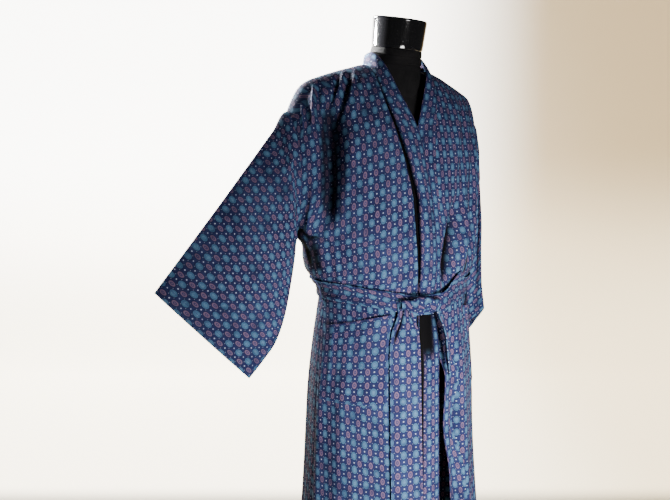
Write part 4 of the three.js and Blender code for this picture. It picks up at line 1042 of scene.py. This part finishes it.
# The sash's end down the right front
FRONT_END = table(
    "z left right middle sides",
    (470, -103, -39, 7, 7.5), (620, -101, -38, 6.5, 6), (780, -98, -37, 6, 6.5), (880, -96, -36, 5.5, 6),
    (925, -91, -37, 6.5, 6), (950, -82, -44, 10, 7), (972, -77, -50, 14, 12.5), (996, -78, -50, 14.2, 14),
)
END_PLEATS = table(
    CREASE,
    (1, 0.42, 0.8, 0.08, 3.6, -4.6), (1, 0.54, 0.89, 0.93, 3.4, -4.6), (0.98, 0.42, 0.7, 0.4, 3, 2.2),
    (0.97, 0.74, 0.8, 0.9, 2.2, 1.8), (0.72, 0.62, 0.4, 0.66, 6, -1.2), (0.6, 0.24, 0.12, 0.28, 6, 1.2),
)
END_WIDE = 60
END_ROWS = 170
END_COLUMNS = 40
END_STITCHES = [("across", 0.0025), ("along", 0.004)]
# Pleat depths, in millimetres, over which painted shade comes in
END_PLEAT_SHADE = (1.0, 3.5)


def front_end_piece():
    z = np.linspace(*FRONT_END["z"][[0, -1]], END_ROWS)[:, None]
    share = np.linspace(0, 1, END_COLUMNS)[None, :]
    keys = ("left", "right", "middle", "sides")
    left, right, middle, sides = (read(FRONT_END, "z", key, z) for key in keys)
    angle = angle_at(mix(left, right, share), z)
    height, long = z + 0 * share, z[-1, 0] - z[0, 0]
    pleats = creases_between(END_PLEATS, (height - z[0]) / long, share + 0 * z, long, END_WIDE)
    out = edge_at("right", "lift", height) + mix(sides, middle, np.sin(math.pi * share)) + pleats
    grid = plain(angle, height) + outward(angle, height) * out[..., None]
    cut = END_WIDE * share + 0 * z, cloth_map(grid)[1]
    finish = printed_cotton("printed_cotton_end", END_STITCHES)
    # Painted shade in the deep pleats, darkest where they sink in most
    gap = ramp_between(-pleats, END_PLEAT_SHADE)
    return cloth_piece("sash_end_front", grid, finish, SASH_CLOTH, flat=cut, gap=gap)


end_front = front_end_piece()

# The sash's other end, folded along its length and standing out edgewise
SIDE_END = table(
    "z x y width turn bow",
    (826, 33, -172, 14, 60, 1), (850, 27, -177, 30, 58, 3), (885, 20, -181, 38, 56, 5),
    (925, 12, -186, 40, 54, 6), (955, 3, -183, 34, 52, 6), (974.5, -5, -178, 22, 48, 4),
)
SIDE_PLEATS = table(
    CREASE,
    (0.99, 0.3, 0.3, 0.4, 3, 1.8), (0.98, 0.64, 0.46, 0.74, 2.4, -1.8), (0.6, 0.2, 0.05, 0.5, 4, -1),
)
SIDE_END_LONG = 148
SIDE_END_WIDE = 40
SIDE_END_ROWS = 90
SIDE_END_COLUMNS = 34
SIDE_END_STITCH = 0.003


def side_end_piece():
    z = np.linspace(*SIDE_END["z"][[0, -1]], SIDE_END_ROWS)[:, None]
    share = np.linspace(0, 1, SIDE_END_COLUMNS)[None, :]
    x, y, width, turn, bow = (read(SIDE_END, "z", key, z) for key in ("x", "y", "width", "turn", "bow"))
    rise = (z - z[0]) / (z[-1] - z[0]) + 0 * share
    pleats = creases_between(SIDE_PLEATS, rise, share + 0 * z, SIDE_END_LONG, SIDE_END_WIDE)
    along = width * (share - 0.5)
    across = bow * np.cos(math.pi * (share - 0.5)) + pleats
    cos, sin = np.cos(turn * DEG), np.sin(turn * DEG)
    grid = np.stack([x + cos * along - sin * across, y + sin * along + cos * across, z + 0 * share], -1)
    finish = printed_cotton("printed_cotton_side_end", [("across", SIDE_END_STITCH)])
    return cloth_piece("sash_end_side", grid, finish, BAND_CLOTH)


end_side = side_end_piece()

# Patch pockets on the fronts' columns: shares of the way from the ditch to the side seam
POCKETS = {
    "right": dict(first=0.2, last=0.9, inner=966, outer=934, sag=6),
    "left": dict(first=0.3, last=1.0, inner=964, outer=940, sag=6),
}
POCKET_FOOT = 775
POCKET_OFF = 1.95
POCKET_WIDE = 140
POCKET_HIGH = 185
POCKET_STITCHES = [("across", 0.003), ("across", 0.137), ("along", 0.003), ("along", 0.160)]


def pocket_piece(name):
    facts = POCKETS[name]
    sign = SIDES[name]["sign"]
    rise = np.linspace(0, 1, 90)[:, None]
    side = np.linspace(0, 1, 70)[None, :]
    height = mix(POCKET_FOOT, mix(facts["inner"], facts["outer"], side), rise)
    ditch = edge_at(name, "groove", height) * DITCH_STEPS[-1]
    start = angle_at(edge_at(name, "seam", height) + sign * ditch, height)
    angle = mix(start, sign * 90, mix(facts["first"], facts["last"], side))
    mouth = bump((side - 0.16) / 0.13) + 0.8 * bump((side - 0.86) / 0.10) + 0.1 * np.sin(math.pi * side)
    hang = facts["sag"] * mouth * rise ** 6
    rim = 0.8 * bump((1 - rise) / 0.012) + 0.5 * bump((rise - 0.865) / 0.01)
    puff = -0.7 * (bump(side / 0.012) + bump((1 - side) / 0.012) + bump(rise / 0.01))
    grid = front_point(name, angle, height, POCKET_OFF + hang + rim + puff)
    cut = POCKET_WIDE * side + 0 * rise, POCKET_HIGH * rise + 0 * side
    if sign < 0:
        grid, cut = grid[:, ::-1], (cut[0][:, ::-1], cut[1])
    finish = printed_cotton(f"printed_cotton_pocket_{name}", POCKET_STITCHES)
    return cloth_piece(f"pocket_{name}", grid, finish, flat=cut)


pocket_right = pocket_piece("right")
pocket_left = pocket_piece("left")

# Thread loops at the side seams
LOOP = table("z off", (984, 1.9), (986, 9), (1000, 11.5), (1020, 11), (1034, 9), (1046, 7), (1048, 2.1))
LOOP_STRANDS = ((-1.5, 0.0), (0.0, 0.5), (1.5, -0.2))
LOOP_THREAD = 0.75
LOOP_TWIST = 0.12
LOOP_SIDES = 10


def strand(name, path):
    """A twisted thread along a path of points."""
    step = unit(np.gradient(path, axis=0))
    side = unit(np.cross(step, [0.0, 1.0, 0.0]))
    over = np.cross(step, side)
    turn = ring_turns(LOOP_SIDES)[None, :, None]
    radius = LOOP_THREAD * (1 + LOOP_TWIST * np.sin(np.arange(len(path))))[:, None, None]
    grid = path[:, None] + (side[:, None] * np.cos(turn) + over[:, None] * np.sin(turn)) * radius
    return closed_mesh(name, grid, THREAD_PAINT)


def thread(name):
    paint = Paint(name)
    spot = paint.where()
    ply = (paint.values(spot)[2] * 5200.0).sine()
    fuzz = paint.noise(spot, 1800.0, 3.0)
    color = paint.blend(fuzz, (0.010, 0.014, 0.050), (0.030, 0.038, 0.105))
    paint.bump(ply + fuzz, 0.5, 0.0004)
    return paint.set(Base_Color=color, Roughness=0.75 + fuzz * 0.15)


THREAD_PAINT = thread("loop_thread")


def join(name, pieces):
    with bpy.context.temp_override(active_object=pieces[0], selected_editable_objects=pieces):
        bpy.ops.object.join()
    pieces[0].name = name
    return pieces[0]


def loop_piece(name):
    sign = SIDES[name]["sign"]
    z = np.linspace(*LOOP["z"][[0, -1]], 40)
    edge = plain(np.full_like(z, sign * 90.0), z)
    off = read(LOOP, "z", "off", z)
    strands = []
    for k, (y, extra) in enumerate(LOOP_STRANDS):
        path = np.stack([edge[:, 0] + sign * (off + extra), np.full_like(z, y) * np.sign(sign), z], -1)
        strands.append(strand(f"strand_{name}_{k}", path))
    return ride(join(f"sash_loop_{name}_thread", strands), f"sash_loop_{name}")


loop_piece("right")
loop_piece("left")

# Dress form
FORM = table(
    "z halfWidth front back round",
    (762, 158, 108, 126, 1), (840, 166, 112, 132, 1), (900, 160, 108, 126, 1), (960, 144, 98, 112, 1),
    (1010, 134, 92, 104, 1), (1060, 136, 94, 106, 1), (1135, 144, 102, 112, 1), (1230, 152, 110, 116, 1),
    (1497, 190, 104, 104, 1.2),
)
FORM_RIDGE_DROP = 1.45
FORM_UNDER = 144
FORM_TOP = 200
FORM_FORWARD = 26
FORM_BACKWARD = 30
FORM_COLUMNS = 120
NECK = table("z radius y lean", (1380, 64, 0, 0), (1440, 60, -2, 0), (1468, 58, -6, 3), (1496, 57.5, -8, 7),
             (1518, 57.5, -10, 10), (1537, 57, -14.6, 12))
NECK_RINGS = table("share lift", (0, 0), (0.50, 0), (0.62, 0.9), (0.66, -0.5), (0.70, 0.8), (0.78, 0),
                   (0.84, 0.5), (0.86, -0.5), (0.89, 0.4), (1, -0.6))
FORM_FOOT = 762
FOOT_ROUND = 12
FOOT_NARROW = 0.94
BELOW_TOP = 0.9995
NECK_COLUMNS = 96
RINGS_FROM = 1440
RIPPLE = 0.7
RIPPLE_AT = 0.64
RIPPLE_WIDE = 0.05


def form_point(angle, height):
    turn = np.abs(angle) * DEG
    forward = np.abs(angle) <= 90
    depth = np.where(forward, read(FORM, "z", "front", height), read(FORM, "z", "back", height))
    share = np.clip((height - UNDERARM_Z) / YOKE_RISE, 0, 1)
    body, yoke = read(FORM, "z", "halfWidth", height), mix(FORM_UNDER, FORM_TOP, share)
    half = np.where(height < UNDERARM_Z, body, yoke)
    x = half * np.sin(turn)
    across = np.abs(np.cos(turn)) ** read(FORM, "z", "round", height)
    armhole = np.where(forward, FORM_FORWARD, FORM_BACKWARD) * np.sin(math.pi * share) ** 0.6
    deep = depth * np.sqrt(np.maximum(0, 1 - share ** np.where(forward, 2, 2.2)))
    y = np.where(height <= UNDERARM_Z, depth * across, armhole + (deep - armhole) * across)
    ridge = np.minimum(read(RIGHT_SHOULDER, "x", "z", x), read(LEFT_SHOULDER, "x", "z", x)) - FORM_RIDGE_DROP
    top = UNDERARM_Z + share * (ridge - UNDERARM_Z)
    z = np.where(height <= UNDERARM_Z, height, top)
    return np.stack([np.sign(angle) * x, y * np.where(forward, -1, 1), z], -1)


def torso_piece():
    low = np.linspace(FORM_FOOT, UNDERARM_Z, 60, endpoint=False)
    high = UNDERARM_Z + YOKE_RISE * np.sin(np.linspace(0, math.pi / 2, 60)) * BELOW_TOP
    height, angle = np.meshgrid(np.concatenate([low, high]),
                                360 * (np.arange(FORM_COLUMNS) + 0.5) / FORM_COLUMNS - 180, indexing="ij")
    grid = form_point(angle, height)
    foot = np.sqrt(np.clip((height[:, 0] - FORM_FOOT) / FOOT_ROUND, 0, 1))
    grid[..., :2] *= mix(FOOT_NARROW, 1.0, foot)[:, None, None]
    return closed_mesh("form_torso", grid, JERSEY)


def neck_piece():
    z = np.linspace(*NECK["z"][[0, -1]], 150)[:, None]
    share = np.clip((z - RINGS_FROM) / (NECK["z"][-1] - RINGS_FROM), 0, 1)
    radius = read(NECK, "z", "radius", z) + read(NECK_RINGS, "share", "lift", share)
    ripple = RIPPLE * bump((share - RIPPLE_AT) / RIPPLE_WIDE) * np.sin(5 * ring_turns(NECK_COLUMNS) + 0.8)
    y, lean = read(NECK, "z", "y", z), read(NECK, "z", "lean", z)
    return turned("form_neck", z, radius + ripple, JERSEY, y, lean, NECK_COLUMNS)


def rounded(corners, radius, steps):
    """Columns of heights and radii along a profile with its corners rounded."""
    points = []
    corners = [np.array(c, float) for c in corners]
    for k, corner in enumerate(corners):
        if k in (0, len(corners) - 1):
            points.append(corner)
            continue
        sides = np.array([corners[k - 1] - corner, corners[k + 1] - corner])
        cut = min(radius, *np.linalg.norm(sides, axis=1) / 2.2)
        first, last = corner + unit(sides) * cut
        for t in np.linspace(0, 1, steps):
            points.append((1 - t) ** 2 * first + 2 * t * (1 - t) * corner + t * t * last)
    return np.array(points).T[..., None]


CAP_AXIS = ((1537.02, -14.6), (1600.4, -28.1))  # height and y at the cap's foot and top
CAP_LEAN = 12


def cap_piece():
    z, reach = rounded([(1537.1, 50), (1537.1, 56.8), (1546, 58), (1560, 58.6), (1597, 60.4), (1600.4, 58.4),
                        (1600.4, 6)], radius=3.2, steps=8)
    (low, low_y), (top, top_y) = CAP_AXIS
    return turned("form_cap_gloss", z, reach, GLOSS, mix(low_y, top_y, (z - low) / (top - low)), CAP_LEAN)


POLE = rounded([(42, 13), (42, 15), (60, 15), (400, 15), (402, 14.4), (404, 15), (762, 15), (762, 13)],
               radius=0.8, steps=4)
BASE = rounded([(0, 150), (0, 188), (2, 190), (8, 190), (11, 186), (15, 34), (19, 26), (40, 24), (42, 22),
                (42, 16)], radius=2.5, steps=6)
ride(torso_piece(), "form_body")
ride(neck_piece(), "form_body")
ride(cap_piece(), "form_cap")
ride(turned("form_pole_steel", *POLE, STEEL), "form_pole")
ride(turned("form_base_steel", *BASE, STEEL), "form_base")

# Floor and backdrop in one sweep
CAMERA = Vector((-0.844, -1.300, 1.230))
AIM = -33 * DEG
TILT = 84.5 * DEG
LENS = 36.2
LENS_SHIFT = (-0.087, 0.004)
SWEEP_NEAR = -1.2
SWEEP_FAR = 3.6
SWEEP_TURN = 0.8
SWEEP_HIGH = 4.6
SWEEP_HALF = 5.0
# Colours of the backdrop's glow, which is painted light
GLOW_LEFT = (1.0, 0.98, 0.92)
GLOW_RIGHT = (0.115, 0.080, 0.040)
GLOW_LOW = (0.50, 0.41, 0.25)
GLOW_NONE = (0.0, 0.0, 0.0)
GLOW_STRENGTH = 9.0
WALL_RIGHT_SHADE = (0.36, 0.31, 0.23)
DAYLIGHT = (1.0, 0.985, 0.96)
ROOM_LIGHT = 0.03


def seen(right, ahead, up):
    """A place by its distances to the camera's right and beyond the robe's axis, and its height."""
    return (math.cos(AIM) * right - math.sin(AIM) * ahead, math.sin(AIM) * right + math.cos(AIM) * ahead, up)


def wall_paint():
    paint = Paint("pale_backdrop")
    spot = paint.where()
    tone = paint.noise(spot, 1.2, 2.0)
    grain = paint.noise(spot, 160.0, 3.0)
    color = paint.blend(tone, (0.80, 0.765, 0.70), (0.86, 0.835, 0.785))
    x, y, z = paint.values(spot)
    rightward = x * math.cos(AIM) + y * math.sin(AIM)
    ahead = y * math.cos(AIM) - x * math.sin(AIM)
    # Painted shade: the wall's colour darkens towards the right.
    color = paint.blend(rightward.ramp(0.0, 1.8) * 0.8, color, WALL_RIGHT_SHADE)
    # Painted light: the backdrop glows, brightest at the left, dimmer to the right and warmer low down;
    # nearer than about a metre beyond the robe, far to the sides and high up it does not glow.
    glow = paint.blend(rightward.ramp(-0.3, 1.2), GLOW_LEFT, GLOW_RIGHT)
    glow = paint.blend(z.ramp(1.6, 0.0) * 0.7, glow, GLOW_LOW)
    glow = paint.blend(ahead.ramp(1.15, 0.95), glow, GLOW_NONE)
    glow = paint.blend((rightward + 0.45).size().ramp(2.65, 3.0), glow, GLOW_NONE)
    glow = paint.blend(z.ramp(3.0, 3.4), glow, GLOW_NONE)
    paint.bump(grain, 0.05, 0.001)
    return paint.set(Base_Color=color, Roughness=0.9 + grain * 0.05, Emission_Color=glow,
                     Emission_Strength=GLOW_STRENGTH)


def backdrop():
    bend = [(SWEEP_FAR - SWEEP_TURN + SWEEP_TURN * math.sin(a), SWEEP_TURN - SWEEP_TURN * math.cos(a))
            for a in np.linspace(0, math.pi / 2, 24)]
    line = [(SWEEP_NEAR, 0.0), *bend, (SWEEP_FAR, SWEEP_HIGH)]
    points = [np.array(seen(side, y, z)) / MM for y, z in line for side in (-SWEEP_HALF, SWEEP_HALF)]
    faces = [[2 * k, 2 * k + 1, 2 * k + 3, 2 * k + 2] for k in range(len(line) - 1)]
    make_mesh("backdrop", points, faces, wall_paint())


backdrop()


def lamp(name, place, aim, size, power, spread, color=DAYLIGHT):
    place = seen(*place)
    data = bpy.data.lights.new(name, "AREA")
    data.spread = spread * DEG
    data.shape = "DISK"
    data.size = size
    data.energy = power
    data.color = color
    piece = bpy.data.objects.new(name, data)
    piece.location = place
    piece.rotation_euler = (Vector(aim) - Vector(place)).to_track_quat("-Z", "Y").to_euler()
    bpy.context.scene.collection.objects.link(piece)


lamp("low_window", (0.60, -1.38, 0.6), (0.10, -0.1, 0.74), 0.6, 15.0, 60)
lamp("back_window", (-1.25, 0.95, 2.35), (-0.12, 0.0, 1.42), 0.6, 22, 44)
lamp("side_window", (-1.75, 0.80, 1.75), (0.0, 0.0, 1.57), 0.40, 26, 18, (1.0, 1.0, 0.98))
lamp("front_fill", (1.1, -1.6, 1.5), (0.05, 0.0, 1.25), 0.5, 2.6, 60, (1.0, 0.985, 0.965))
world = bpy.data.worlds.new("soft_room")
world.use_nodes = True
background = world.node_tree.nodes["Background"]
background.inputs["Color"].default_value = (*DAYLIGHT, 1.0)
background.inputs["Strength"].default_value = ROOM_LIGHT
bpy.context.scene.world = world

camera_data = bpy.data.cameras.new("camera")
camera_data.lens = LENS
camera_data.sensor_width = 36.0
camera_data.shift_x, camera_data.shift_y = LENS_SHIFT
camera_data.dof.use_dof = False
camera = bpy.data.objects.new("camera", camera_data)
camera.location = CAMERA
camera.rotation_euler = (TILT, 0.0, AIM)
bpy.context.scene.collection.objects.link(camera)
bpy.context.scene.camera = camera
